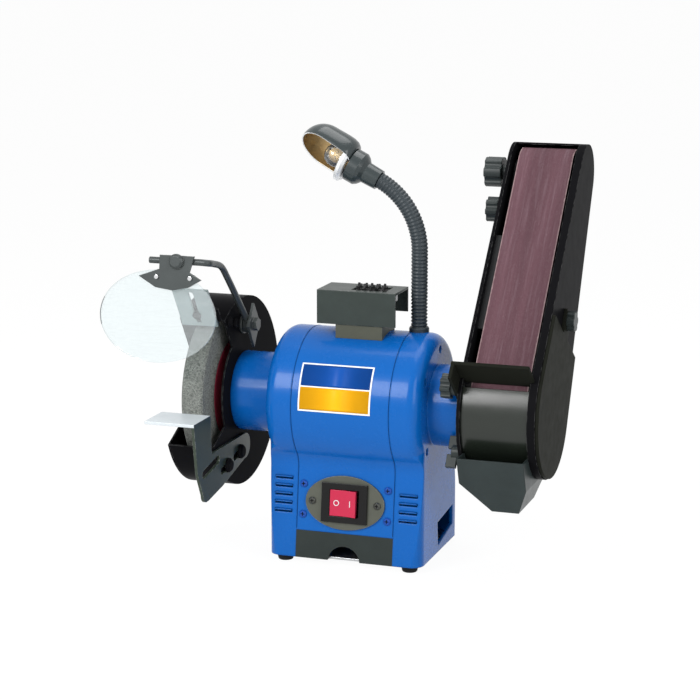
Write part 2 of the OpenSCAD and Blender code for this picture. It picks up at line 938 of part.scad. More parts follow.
module shield_rod() {
    c = clamp_at + motor_c;
    low = [rod_x, c.x - 5, c.y + 5];
    knee = [rod_x, run_at.x + 14, run_at.y + shaft_h - 3];
    turn = [rod_x - 12, run_at.x, run_at.y + shaft_h];
    color([0.3, 0.33, 0.35])
        difference() {
            union() {
                tube(concat(
                    [low, [rod_x, -24, shaft_h + 84], [rod_x, -52, shaft_h + 112]],
                    rod_bend([rod_x, -52, shaft_h + 112], [rod_x, -66, shaft_h + 126],
                        [rod_x, -74, shaft_h + 129], knee, 4),
                    [knee],
                    rod_bend(knee, [rod_x, run_at.x, run_at.y + shaft_h - 0.5],
                        [rod_x, run_at.x, run_at.y + shaft_h], turn, 4),
                    [turn, [run_end, run_at.x, run_at.y + shaft_h]]
                ), rod_r, 12);
                x_rod(8, rod_x - rod_r, rod_x + rod_r, c);
            }
            x_rod(rod_r + run_gap, rod_x - 2 * rod_r, rod_x + 2 * rod_r, c, 32);
        }
}

module shield_clamp() {
    c = clamp_at + motor_c;
    x1 = rod_x + rod_r + slip;
    color([0.3, 0.33, 0.35]) {
        difference() {
            union() {
                x_span(x1, x1 + 2.5)
                    translate(c)
                        polygon([[0, -21], [13, 0], [0, 19], [-13, 0]]);
                x_rod(9, -boss_left, rod_x - rod_r - slip, c);
            }
            x_rod(rod_r, -boss_left - eps, x1 + 4, c, 32);
        }
        // bolt through the rod's eye
        x_rod(rod_r, -inner_x - 3, x1 + 2.5, c, 32);
        x_rod(6, x1 + 2.5, x1 + 6.5, c, 6);
    }
}

// Places the shield's parts: origin on the rod's run, shield hanging down, +Y to the rear
module at_shield() {
    translate([shield_mid, run_at.x, run_at.y + shaft_h])
        rotate([-shield_tilt, 0, 0])
            children();
}

plate_y = -rod_r - 2;
module eye_shield() {
    color([0.85, 0.95, 0.98, 0.35])
        at_shield()
            difference() {
                translate([0, plate_y - shield_t, -shield_b - 8])
                    rotate([-90, 0, 0])
                        linear_extrude(shield_t)
                            polygon(ellipse(shield_a, shield_b, 72));
                for (x = bracket_screw_x)
                    translate([x, plate_y - 5, -14])
                        rotate([-90, 0, 0])
                            cylinder(r = 2, h = 10, $fn = 24);
            }
}

bracket_screw_x = [-1, 30];
module shield_bracket() {
    mid = dome_x - shield_mid;
    color([0.3, 0.33, 0.35])
        at_shield() {
            difference() {
                translate([mid, plate_y, 0])
                    rotate([90, 0, 0])
                        mirror([0, 0, 1])
                            linear_extrude(1.8)
                                polygon([
                                    [-13, 5], [19, 5], [15, -9], [26, -15], [14, -22], [0, -25],
                                    [-16, -23], [-32, -14], [-13, -7]
                                ]);
                for (x = bracket_screw_x)
                    translate([x, plate_y - 5, -14])
                        rotate([-90, 0, 0])
                            cylinder(r = 2, h = 10, $fn = 24);
            }
            // the clip that wraps the rod's run
            difference() {
                union() {
                    translate([mid - 9, 0, 0])
                        rotate([0, 90, 0])
                            cylinder(r = rod_r + 2, h = 18);
                    translate([mid - 9, plate_y + 1.5, -5])
                        cube([18, 3.4, 10]);
                }
                translate([mid - 10, 0, 0])
                    rotate([0, 90, 0])
                        cylinder(r = rod_r + 0.2, h = 20, $fn = 48);
            }
            // domed bolt head
            translate([mid + 3, plate_y, 0])
                rotate([90, 0, 0])
                    screw(6.5, 4, 3, 0.5);
        }
}

module shield_screws() {
    color(steel)
        at_shield()
            for (x = bracket_screw_x)
                translate([x, plate_y + 1.8, -14])
                    rotate([-90, 0, 0])
                        screw(3.6, 2.4, 1.9, 1.8 + shield_t + 1.5);
}

// ---- wheel dresser stored on top ----
dresser_x = [-34, 38];
dresser_y = [-24, 15];
dresser_z = [213, 243];
base_x = [-17, 26];
dresser_t = 2;

module dresser_base() {
    color([0.38, 0.38, 0.3])
        difference() {
            union() {
                translate([base_x[0], dresser_y[0] + 1, shaft_h])
                    cube([base_x[1] - base_x[0], 36, dresser_z[0] - shaft_h]);
                // post under the channel's top
                translate([base_x[0], -15, shaft_h])
                    cube([5, 20, dresser_z[1] - dresser_t - shaft_h]);
            }
            on_shaft(motor_r, base_x[0] - eps, base_x[1] + eps, 96);
        }
}

dresser_slot = [-5, 27];
dresser_axis = [-5, dresser_z[1] - 5];
module dresser_body() {
    color(dark)
        difference() {
            translate([dresser_x[0], dresser_y[0], dresser_z[0]])
                cube([
                    dresser_x[1] - dresser_x[0], dresser_y[1] - dresser_y[0],
                    dresser_z[1] - dresser_z[0]
                ]);
            translate([dresser_x[0] - eps, dresser_y[0] + dresser_t, dresser_z[0] - eps])
                cube([
                    dresser_x[1] - dresser_x[0] + 2 * eps, dresser_y[1] - dresser_y[0] - 2 * dresser_t,
                    dresser_z[1] - dresser_z[0] - dresser_t + eps
                ]);
            translate([dresser_x[0] - eps, dresser_y[1] - dresser_t - eps, dresser_z[0] - eps])
                cube([dresser_x[1] - dresser_x[0] + 2 * eps, 4, 9]);
            translate([dresser_slot[0], dresser_axis.x - 11, dresser_z[1] - 2 * dresser_t])
                cube([dresser_slot[1] - dresser_slot[0], 22, 3 * dresser_t]);
        }
}

dresser_r = 10;
module dresser_wheels() {
    n = 5;
    pitch = (dresser_slot[1] - dresser_slot[0] - 3) / n;
    color([0.1, 0.1, 0.1])
        for (i = [0 : n - 1])
            translate([dresser_slot[0] + 2 + i * pitch, dresser_axis.x, dresser_axis.y])
                rotate([0, 90, 0])
                    difference() {
                        union() {
                            rotate(i * 15)
                                star_disc(dresser_r, 10, 2);
                            cylinder(r = 5, h = pitch);
                        }
                        translate([0, 0, -eps])
                            cylinder(r = 3 + run_gap, h = pitch + 2 * eps, $fn = 32);
                    }
}

// A flat disc with pointed teeth
module star_disc(r, teeth, t) {
    translate([0, 0, 1])
        linear_extrude(t)
            polygon([for (i = [0 : 2 * teeth - 1]) let(a = 180 * i / teeth, q = i % 2 == 0 ? r : r * 0.72)
                [q * cos(a), q * sin(a)]]);
}

module dresser_pin() {
    x0 = dresser_slot[0] - 6;
    x1 = dresser_slot[1] + 6;
    color(steel) {
        translate([x0, dresser_axis.x, dresser_axis.y])
            rotate([0, 90, 0])
                cylinder(r = 3, h = x1 - x0, $fn = 32);
        // hangers that hold the pin under the channel's top
        for (x = [x0, x1 - 3])
            translate([x, dresser_axis.x - 5, dresser_axis.y - 5])
                cube([3, 10, dresser_z[1] - dresser_t - dresser_axis.y + 5]);
    }
}

// ---- lamp ----
neck_at = [50, 9];
neck_foot = shaft_h + sqrt(motor_r * motor_r - neck_at.y * neck_at.y);
neck_straight = 276.5 - 204.5;
neck_turn = 63;
neck_top = neck_foot + neck_straight;
lamp_dir = [-sin(neck_turn), 0, cos(neck_turn)];
neck_end = [
    neck_at.x - neck_bend * (1 - cos(neck_turn)), neck_at.y, neck_top + neck_bend * sin(neck_turn)
];

module lamp_hole() {
    translate([neck_at.x, neck_at.y, shaft_h])
        cylinder(r = neck_r - 3.5, h = motor_r + eps, $fn = 48);
}

module lamp_neck() {
    steps = 24;
    color([0.2, 0.23, 0.25]) {
        difference() {
            union() {
                tube(concat(
                    [[neck_at.x, neck_at.y, neck_foot - 6]],
                    [for (i = [0 : steps]) let(a = neck_turn * i / steps) [
                        neck_at.x - neck_bend * (1 - cos(a)), neck_at.y, neck_top + neck_bend * sin(a)
                    ]]
                ), neck_r, 16);
                translate([neck_at.x, neck_at.y, neck_foot - 6])
                    cylinder(r = neck_r + 1.5, h = 11);
            }
            on_shaft(motor_r, shell_half - 20, body_half, 96);
        }
    }
}

// Places things at the end of the neck, +Z along the lamp's own axis
module at_lamp() {
    translate(neck_end)
        rotate([0, -neck_turn, 0])
            children();
}

socket_l = [14, 29];
socket_r = 15;
shade_back = 29;
shade_tip = 80;
shade_t = 1.5;

module lamp_socket() {
    color([0.2, 0.23, 0.25])
        at_lamp()
            difference() {
                rotate_extrude()
                    polygon([
                        [0, slip], [neck_r + 1.5, slip], [neck_r + 2, socket_l[0]], [socket_r - 2, socket_l[0] + 3],
                        [socket_r, socket_l[0] + 6], [socket_r, socket_l[1]],
                        [0, socket_l[1]]
                    ]);
                translate([0, 0, socket_l[1] - 9])
                    cylinder(r = bulb_cap_r, h = 12);
            }
}

bulb_cap_r = 7;
bulb_r = 11;
module lamp_bulb() {
    z = socket_l[1];
    color([0.95, 0.95, 0.85, 0.5])
        at_lamp()
            rotate_extrude()
                intersection() {
                    union() {
                        translate([0, z - 9])
                            square([bulb_cap_r - 0.1, 14.2]);
                        translate([0, z + 15])
                            circle(bulb_r);
                    }
                    translate([0, 0])
                        square([20, 100]);
                }
}

shade_cut_n = unit([-0.38, -0.7, -0.6]);
shade_cut_p = 52;
module lamp_shade() {
    z0 = shade_back;
    z1 = shade_tip - shade_r;
    color([0.2, 0.23, 0.25])
        difference() {
            at_lamp()
                rotate_extrude()
                    difference() {
                        intersection() {
                            union() {
                                translate([0, z1])
                                    circle(shade_r, $fn = 72);
                                translate([0, z0])
                                    square([shade_r, z1 - z0]);
                            }
                            translate([0, z0])
                                square([100, 100]);
                        }
                        intersection() {
                            union() {
                                translate([0, z1])
                                    circle(shade_r - shade_t, $fn = 72);
                                translate([0, z0 + shade_t])
                                    square([shade_r - shade_t, z1 - z0 - shade_t]);
                            }
                            translate([0, z0 + shade_t])
                                square([100, 100]);
                        }
                        translate([0, z0 - eps])
                            square([bulb_cap_r, 4]);
                    }
            // the slanting mouth
            translate(neck_end + lamp_dir * shade_cut_p)
                rotate([0, acos(shade_cut_n.z), atan2(shade_cut_n.y, shade_cut_n.x)])
                    translate([-60, -60, 4])
                        cube([120, 120, 80]);
        }
}

// ---- belt arm ----
// The arm's frame: origin on the shaft, +Z along the arm, -Y to its front
module arm_frame() {
    about_shaft()
        rotate([-arm_lean, 0, 0])
            children();
}

taper = asin((drum_r - idler_r) / belt_c);
// The frame of the belt's front run: +Z along the run, the belt at y = -drum_r
module run_frame() {
    about_shaft()
        rotate([-arm_lean - taper, 0, 0])
            children();
}

belt_gap = 0.3;
belt_x = [(drum_x[0] + drum_x[1] - belt_w) / 2, (drum_x[0] + drum_x[1] + belt_w) / 2];
plate_x = [boss_right + slip, boss_right + spigot_l - slip];
housing_t = 1.5;

// Outline of a loop round two circles in (y, z): radius r0 at the origin, r1 at [0, c]
// A loop round two circles, r0 on the shaft and r1 on the idler's axis, from x0 to x1
module loop_prism(r0, r1, x0, x1) {
    t = asin((r0 - r1) / belt_c);
    a = [cos(t), sin(t)];
    b = [-cos(t), sin(t)];
    tip = [0, belt_c];
    s0 = r0 - skin;
    s1 = r1 - skin;
    x_rod(r0, x0, x1, [0, 0], 96);
    x_rod(r1, x0, x1, tip, 96);
    x_span(x0, x1)
        polygon([a * s0, tip + a * s1, tip + b * s1, b * s0]);
}

module sanding_belt() {
    color([0.45, 0.25, 0.3])
        arm_frame()
            difference() {
                loop_prism(drum_r + belt_gap + belt_t, idler_r + belt_gap + belt_t, belt_x[0], belt_x[1]);
                loop_prism(drum_r + belt_gap, idler_r + belt_gap, belt_x[0] - eps, belt_x[1] + eps);
            }
}

module drive_drum() {
    rim = 5;
    web = 8;
    mid = (drum_x[0] + drum_x[1]) / 2;
    color([0.2, 0.2, 0.2])
        difference() {
            on_shaft(drum_r, drum_x[0], drum_x[1], 96);
            for (x = [[drum_x[0] - eps, mid - web / 2], [mid + web / 2, drum_x[1] + eps]])
                difference() {
                    on_shaft(drum_r - rim, x[0], x[1]);
                    on_shaft(14, x[0] - eps, x[1] + eps);
                }
            on_shaft(stub_r, drum_x[0] - eps, drum_x[1] + eps);
        }
}

axle_r = 5;
carriage_travel = 6;
carriage_x = [plate_x[1] + slip, plate_x[1] + slip + 4];
carriage_low = 70;
carriage_w = 24;
tension_d = 38;
spring_x = carriage_x[0] + 6.5;
spring_lug = [110, 114];

// A slot through the arm plate that clears a pin of radius r at height z
module travel_slot(z, r) {
    x0 = plate_x[0] - eps;
    x1 = plate_x[1] + eps;
    low = z - carriage_travel - slip;
    x_rod(r, x0, x1, [0, z + slip], 48);
    x_rod(r, x0, x1, [0, low], 48);
    translate([x0, skin - r, low])
        cube([x1 - x0, 2 * (r - skin), carriage_travel + 2 * slip]);
}

module arm_plate() {
    color(black)
        arm_frame() {
            difference() {
                loop_prism(cover_r, tip_r, plate_x[0], plate_x[1]);
                x_rod(spigot_r + run_gap, plate_x[0] - eps, plate_x[1] + eps, [0, 0], 96);
                travel_slot(belt_c, axle_r + slip);
                travel_slot(belt_c - tension_d, tension_bolt_r + slip);
                x_rod(wing_bolt_r + run_gap, plate_x[0] - eps, plate_x[1] + eps, wing_local, 32);
                rotate([-taper, 0, 0])
                    x_rod(rest_bolt_r + run_gap, plate_x[0] - eps, plate_x[1] + eps, rest_bolt, 32);
            }
            // lug that the tension spring stands on
            translate([plate_x[1] - eps, -6, spring_lug[0]])
                cube([spring_x + 6 - plate_x[1] + eps, 12, spring_lug[1] - spring_lug[0]]);
            // heads of the platen's screws
            translate([plate_x[0], 0, 0])
                rotate([-taper, 0, 0])
                    for (z = platen_screw_z)
                        translate([0, platen_screw_y, z])
                            rotate([0, -90, 0])
                                screw(4, 3, platen_screw_r, plate_x[1] - plate_x[0]);
        }
}

platen_screw_r = 2.5;
platen_screw_y = -28;
platen_screw_z = [56, 100, 140];
tension_bolt_r = 3;

module arm_retainer() {
    color(steel)
        difference() {
            on_shaft(spigot_r + 5, boss_right + spigot_l, boss_right + spigot_l + 2.5);
            on_shaft(bearing_r - bearing_lip, boss_right + spigot_l - eps, boss_right + spigot_l + 5);
        }
}

module idler_roller() {
    color([0.6, 0.6, 0.62])
        arm_frame()
            difference() {
                x_rod(idler_r, belt_x[0] + 1, belt_x[1] - 1, [0, belt_c], 96);
                x_rod(axle_r + run_gap, belt_x[0], belt_x[1], [0, belt_c], 48);
            }
}

module idler_carriage() {
    z0 = belt_c - carriage_low;
    color([0.5, 0.5, 0.52])
        arm_frame() {
            x_span(carriage_x[0], carriage_x[1]) {
                translate([-carriage_w / 2, z0])
                    square([carriage_w, carriage_low]);
                translate([0, belt_c])
                    circle(carriage_w / 2);
            }
            x_rod(axle_r, plate_x[0] - 8, belt_x[1] - 0.5, [0, belt_c], 48);
            x_rod(tension_bolt_r, plate_x[0] - 8, carriage_x[0] + 1, [0, belt_c - tension_d], 32);
            // foot that the spring pushes on
            translate([carriage_x[0], -6, z0])
                cube([spring_x + 6 - carriage_x[0], 12, 4]);
        }
}

spring_r = 4.5;
spring_wire = 0.9;
module tension_spring() {
    turns = 7;
    per_turn = 12;
    z0 = spring_lug[1] + spring_wire;
    z1 = belt_c - carriage_low - spring_wire;
    color(steel)
        arm_frame()
            tube([for (i = [0 : turns * per_turn]) let(a = 360 * i / per_turn) [
                spring_x + spring_r * cos(a), spring_r * sin(a), z0 + (z1 - z0) * i / (turns * per_turn)
            ]], spring_wire, 6);
}

platen_x = [belt_x[0] + 1, belt_x[1] - 1];
platen_z = [52, 186];
module belt_platen() {
    face_t = 3;
    platen_side = platen_screw_z[2] + 7 - platen_z[0];
    y0 = skin - drum_r - belt_gap;
    color(steel)
        run_frame() {
            translate([platen_x[0], y0, platen_z[0]])
                cube([platen_x[1] - platen_x[0], face_t, platen_z[1] - platen_z[0]]);
            translate([plate_x[1], y0, platen_z[0]])
                cube([2, 28, platen_side]);
            translate([plate_x[1], y0, platen_z[0]])
                cube([platen_x[0] - plate_x[1] + eps, face_t, platen_side]);
        }
}

housing_x = [belt_x[1] + 3, arm_x];
housing_floor = 22;
module belt_housing() {
    color(black)
        arm_frame() {
            // box beside the belt
            difference() {
                loop_prism(cover_r, tip_r, housing_x[0], housing_x[1]);
                loop_prism(cover_r - housing_t, tip_r - housing_t, housing_x[0] - eps, housing_x[1] - housing_t);
                x_rod(40, housing_x[1] - 2 * housing_t, housing_x[1] + eps, [0, 0]);
                x_rod(3.2, housing_x[1] - 2 * housing_t, housing_x[1] + eps, side_knob_at, 24);
            }
            // wall behind the belt
            intersection() {
                difference() {
                    loop_prism(cover_r, tip_r, plate_x[1], housing_x[0] + eps);
                    loop_prism(cover_r - housing_t, tip_r - housing_t, plate_x[1] - eps, housing_x[0] + 2 * eps);
                }
                x_span(plate_x[1] - eps, housing_x[0] + 3 * eps)
                    polygon([
                        [0, housing_floor - cover_r], [cover_r * 1.2, housing_floor - cover_r],
                        [cover_r * 1.2, belt_c + tip_r + eps], [-tip_r * 0.55, belt_c + tip_r + eps],
                        [-tip_r * 0.55, belt_c], [0, belt_c - 10]
                    ]);
            }
        }
}

side_cover_t = 3;
side_cover_top = 72;
side_knob_at = [0, 87];
module side_cover() {
    color(dark)
        arm_frame() {
            intersection() {
                loop_prism(cover_r - 1, tip_r, arm_x, arm_x + side_cover_t);
                translate([arm_x - eps, -cover_r - eps, -cover_r - eps])
                    cube([side_cover_t + 2 * eps, 2 * (cover_r + eps), cover_r + eps + side_cover_top]);
            }
            // tab under the knob
            difference() {
                x_span(arm_x, arm_x + side_cover_t)
                    translate([-9, side_cover_top - eps])
                        square([18, side_knob_at.y + 9 - side_cover_top]);
                x_rod(3.4, arm_x - eps, arm_x + side_cover_t + eps, side_knob_at, 24);
            }
        }
}

module side_knob() {
    color(black)
        arm_frame() {
            translate([arm_x + side_cover_t, side_knob_at.x, side_knob_at.y])
                rotate([0, 90, 0])
                    star_knob(9, 7, 6);
            x_rod(3, arm_x - 6, arm_x + side_cover_t + 1, side_knob_at, 24);
        }
}

module tracking_knob() {
    color([0.15, 0.2, 0.2])
        arm_frame()
            difference() {
                union() {
                    translate([plate_x[0] - 25, 0, belt_c])
                        rotate([0, 90, 0])
                            star_knob(14, 16, 6);
                    x_rod(7, plate_x[0] - 10, plate_x[0] - slip, [0, belt_c]);
                }
                x_rod(axle_r + run_gap, plate_x[0] - 8 - slip, plate_x[0], [0, belt_c], 48);
            }
}

module tension_knob() {
    z = belt_c - tension_d;
    color([0.15, 0.2, 0.2])
        arm_frame()
            difference() {
                union() {
                    translate([plate_x[0] - 18, 0, z])
                        rotate([0, 90, 0])
                            star_knob(11.5, 11, 7);
                    x_rod(6, plate_x[0] - 8, plate_x[0] - slip, [0, z]);
                }
                x_rod(tension_bolt_r + run_gap, plate_x[0] - 8 - slip, plate_x[0], [0, z], 48);
            }
}

// ---- drum cover, chute and rest, all on the arm ----
drum_cover_r = 54.5;
module drum_cover() {
    color(dark)
        about_shaft()
            x_span(plate_x[1], housing_x[0])
                sector_ring(drum_cover_r - housing_t, drum_cover_r, 180 - 31.5, 180 + 48);
}

chute_x = [plate_x[1], housing_x[0]];
chute_t = 1.8;
// Front outline of the chute in (x, z), shrunk by i
module chute_front(i) {
    polygon([
        [chute_x[0] + i, -20], [chute_x[1] - i, -20], [chute_x[1] - i, -57],
        [chute_x[1] - 8 - i, -79 + i], [chute_x[0] + 27, -79 + i], [chute_x[0] + i, -54]
    ]);
}

// Side outline of the chute in (y, z)
module chute_side(i) {
    polygon([
        [-66 + i, -30 + (i > 0 ? 2 : 0)], [-55 + i, -58], [-47 + i, -79 + i],
        [6 - i, -82 + i], [14 - i, -64], [14 - i, -30 + (i > 0 ? 2 : 0)]
    ]);
}

module chute_block(i) {
    about_shaft()
        intersection() {
            x_span(chute_x[0] - eps, chute_x[1] + eps) chute_side(i);
            translate([0, 60, 0])
                rotate([90, 0, 0])
                    linear_extrude(160)
                        chute_front(i);
        }
}

// The round outlet for a hose, towards the rear
spout_r = 11.5;
module spout(r, y0, y1) {
    translate([(chute_x[0] + chute_x[1]) / 2 + 6, y0, shaft_h - 68])
        rotate([-90, 0, 0])
            cylinder(r = r, h = y1 - y0);
}

module dust_chute() {
    color(dark)
        difference() {
            union() {
                chute_block(0);
                spout(spout_r, 5, 33);
            }
            chute_block(chute_t);
            spout(spout_r - chute_t, 0, 34);
            on_shaft(drum_cover_r + 0.2, chute_x[0] - eps, chute_x[1] + eps, 96);
        }
}

wing_at = [-41, -31];
wing_bolt_r = 2.4;
function to_arm(p) = [p.x * cos(arm_lean) - p.y * sin(arm_lean), p.x * sin(arm_lean) + p.y * cos(arm_lean)];
wing_local = to_arm(wing_at);
module wing_knob() {
    x1 = plate_x[0] - slip;
    color([0.2, 0.23, 0.22])
        arm_frame()
            translate([0, wing_local.x, wing_local.y]) {
                x_rod(6, x1 - 7, x1);
                x_rod(wing_bolt_r, x1 - 3, plate_x[1] - slip, [0, 0], 32);
                for (s = [-1, 1])
                    translate([x1 - 11, -2, s * 8.5 - 5.7])
                        cube([9, 4, 11.4]);
            }
}

belt_rest_d = 31;
belt_rest_x = [plate_x[0] - 3, 168];
belt_rest_gap = 2;
belt_rest_t = 3;
belt_rest_travel = 8;
rest_bolt_r = 2.5;
// The rest's clamp bolt in the frame of the belt's front run
rest_bolt = [-drum_r - 2, -7];
module belt_rest() {
    y1 = -drum_r - belt_t - belt_rest_gap;
    y_in = -cover_r - 0.5;
    z0 = 0.5 - belt_rest_t;
    x1 = plate_x[0];
    color([0.14, 0.16, 0.18])
        run_frame() {
            translate([belt_rest_x[0], y1 - belt_rest_d, z0])
                cube([belt_rest_x[1] - belt_rest_x[0], y_in - y1 + belt_rest_d, belt_rest_t]);
            // tongue between the arm's side walls
            translate([plate_x[1] + 0.5, y_in - eps, z0])
                cube([housing_x[0] - plate_x[1] - 1, y1 - y_in + eps, belt_rest_t]);
            // bracket beside the arm plate, with a slot for the clamp bolt
            difference() {
                translate([belt_rest_x[0], y1 - belt_rest_d, -16])
                    cube([x1 - belt_rest_x[0], belt_rest_d + 14, 16 + 0.5]);
                x_rod(rest_bolt_r + slip, belt_rest_x[0] - eps, x1 + eps, rest_bolt, 32);
                x_rod(rest_bolt_r + slip, belt_rest_x[0] - eps, x1 + eps, rest_bolt + [belt_rest_travel, 0], 32);
                translate([belt_rest_x[0] - eps, rest_bolt.x, rest_bolt.y - rest_bolt_r - slip])
                    cube([x1 - belt_rest_x[0] + 2 * eps, belt_rest_travel, 2 * (rest_bolt_r + slip)]);
            }
        }
}

module rest_knob() {
    x1 = belt_rest_x[0];
    color([0.2, 0.23, 0.22])
        run_frame()
            translate([0, rest_bolt.x, rest_bolt.y]) {
                translate([x1 - 13, 0, 0])
                    rotate([0, 90, 0])
                        star_knob(11, 9, 8);
                x_rod(8, x1 - 4 - eps, x1);
                x_rod(rest_bolt_r, x1 - eps, plate_x[1] - slip, [0, 0], 32);
            }
}

motor_shell();
end_cap_left();
end_cap_right();
base_cover();
base_plate();
rubber_feet();
switch_plate();
switch_frame();
switch_rocker();
switch_screws();
housing_screws();
name_plate();
cable_gland();
stator_core();
stator_windings();
rotor_core();
rotor_shaft();
bearings();
run_capacitor();
wheel_guard();
guard_cover();
guard_bolts();
grinding_wheel();
wheel_labels();
wheel_flanges();
shaft_nuts();
spark_arrester();
tool_rest();
eye_shield();
shield_bracket();
shield_screws();
shield_rod();
shield_clamp();
dresser_body();
dresser_wheels();
dresser_pin();
dresser_base();
lamp_neck();
lamp_socket();
lamp_shade();
lamp_bulb();
arm_plate();
arm_retainer();
drive_drum();
idler_roller();
idler_carriage();
tension_spring();
sanding_belt();
belt_platen();
belt_housing();
side_cover();
tracking_knob();
tension_knob();
wing_knob();
side_knob();
rest_knob();
drum_cover();
dust_chute();
belt_rest();
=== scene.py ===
"""Looks of a bench grinder with a belt sander arm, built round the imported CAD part."""

import json
import math

import bmesh
import bpy
from mathutils import Matrix, Vector
from mathutils.bvhtree import BVHTree


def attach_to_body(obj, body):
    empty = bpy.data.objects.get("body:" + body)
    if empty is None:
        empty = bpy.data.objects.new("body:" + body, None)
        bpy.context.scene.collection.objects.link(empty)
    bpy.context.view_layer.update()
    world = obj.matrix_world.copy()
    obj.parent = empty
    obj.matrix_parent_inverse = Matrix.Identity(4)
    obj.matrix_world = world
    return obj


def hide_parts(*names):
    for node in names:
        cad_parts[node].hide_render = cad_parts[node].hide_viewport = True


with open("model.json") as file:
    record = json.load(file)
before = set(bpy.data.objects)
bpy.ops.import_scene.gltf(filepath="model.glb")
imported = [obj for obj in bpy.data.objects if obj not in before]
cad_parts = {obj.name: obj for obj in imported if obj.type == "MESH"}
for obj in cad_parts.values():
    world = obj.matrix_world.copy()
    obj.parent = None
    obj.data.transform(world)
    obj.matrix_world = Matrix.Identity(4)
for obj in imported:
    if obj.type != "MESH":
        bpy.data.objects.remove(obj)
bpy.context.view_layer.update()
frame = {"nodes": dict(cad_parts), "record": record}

MM = 0.001
SHAFT_Z = 0.142
MOTOR_R = 0.063
ARM_LEAN = math.radians(33.5)
WALL_LEAN = math.radians(6.6)
WALL_FOOT_Y, WALL_FOOT_Z = -0.052, 0.006
NECK_TURN = math.radians(63)
BODY_OF = {n: b for b, ns in frame["record"]["behaviour"]["bodies"].items() for n in ns}
SLOT_OF = {s["node"]: s["material_slot"] for s in frame["record"]["subparts"]}


# ---- materials ----
class Graph:
    """A material's node tree, with short calls for the nodes used here."""

    def __init__(self, name):
        self.mat = bpy.data.materials.new(name)
        self.mat.use_nodes = True
        self.tree = self.mat.node_tree
        self.tree.nodes.clear()
        self.out = self.add("ShaderNodeOutputMaterial")
        self.place = self.add("ShaderNodeTexCoord").outputs["Object"]

    def add(self, kind, **values):
        node = self.tree.nodes.new(kind)
        for key, value in values.items():
            setattr(node, key, value)
        return node

    def link(self, a, b):
        self.tree.links.new(a, b)

    def put(self, socket, value):
        if isinstance(value, bpy.types.NodeSocket):
            self.link(value, socket)
        else:
            socket.default_value = value

    def noise(self, scale, detail=4.0, rough=0.55, coords=None):
        node = self.add("ShaderNodeTexNoise")
        self.link(coords or self.place, node.inputs["Vector"])
        node.inputs["Scale"].default_value = scale
        node.inputs["Detail"].default_value = detail
        node.inputs["Roughness"].default_value = rough
        return node.outputs["Fac"]

    def ramp(self, value, lo, hi, out_lo=0.0, out_hi=1.0):
        node = self.add("ShaderNodeMapRange")
        self.link(value, node.inputs["Value"])
        for key, v in (("From Min", lo), ("From Max", hi), ("To Min", out_lo), ("To Max", out_hi)):
            node.inputs[key].default_value = v
        return node.outputs["Result"]

    def mix(self, factor, a, b):
        node = self.add("ShaderNodeMix", data_type="RGBA")
        self.put(node.inputs[0], factor)
        self.put(node.inputs[6], a)
        self.put(node.inputs[7], b)
        return node.outputs[2]

    def math(self, op, a, b=0.0):
        node = self.add("ShaderNodeMath", operation=op)
        self.put(node.inputs[0], a)
        self.put(node.inputs[1], b)
        return node.outputs[0]

    def turned(self, angle, stretch):
        """Coordinates turned about X and squeezed, for grain that runs one way."""
        node = self.add("ShaderNodeMapping")
        self.link(self.place, node.inputs["Vector"])
        node.inputs["Rotation"].default_value = (angle, 0, 0)
        node.inputs["Scale"].default_value = stretch
        return node.outputs["Vector"]

    def blend(self, factor, a, b):
        """A mix of two shaders."""
        node = self.add("ShaderNodeMixShader")
        self.put(node.inputs[0], factor)
        self.link(a, node.inputs[1])
        self.link(b, node.inputs[2])
        return node.outputs[0]

    def relief(self, shader, height, strength, depth, normal=None):
        """Raises the surface by a height, sends the shader out and gives the material."""
        node = self.add("ShaderNodeBump")
        node.inputs["Strength"].default_value = strength
        node.inputs["Distance"].default_value = depth
        self.link(height, node.inputs["Height"])
        if normal is not None:
            self.link(normal, node.inputs["Normal"])
        self.link(node.outputs[0], shader.inputs["Normal"])
        self.link(shader.outputs[0], self.out.inputs[0])
        return self.mat


def rgb(c, k=1.0):
    return (min(c[0] * k, 1), min(c[1] * k, 1), min(c[2] * k, 1), 1)


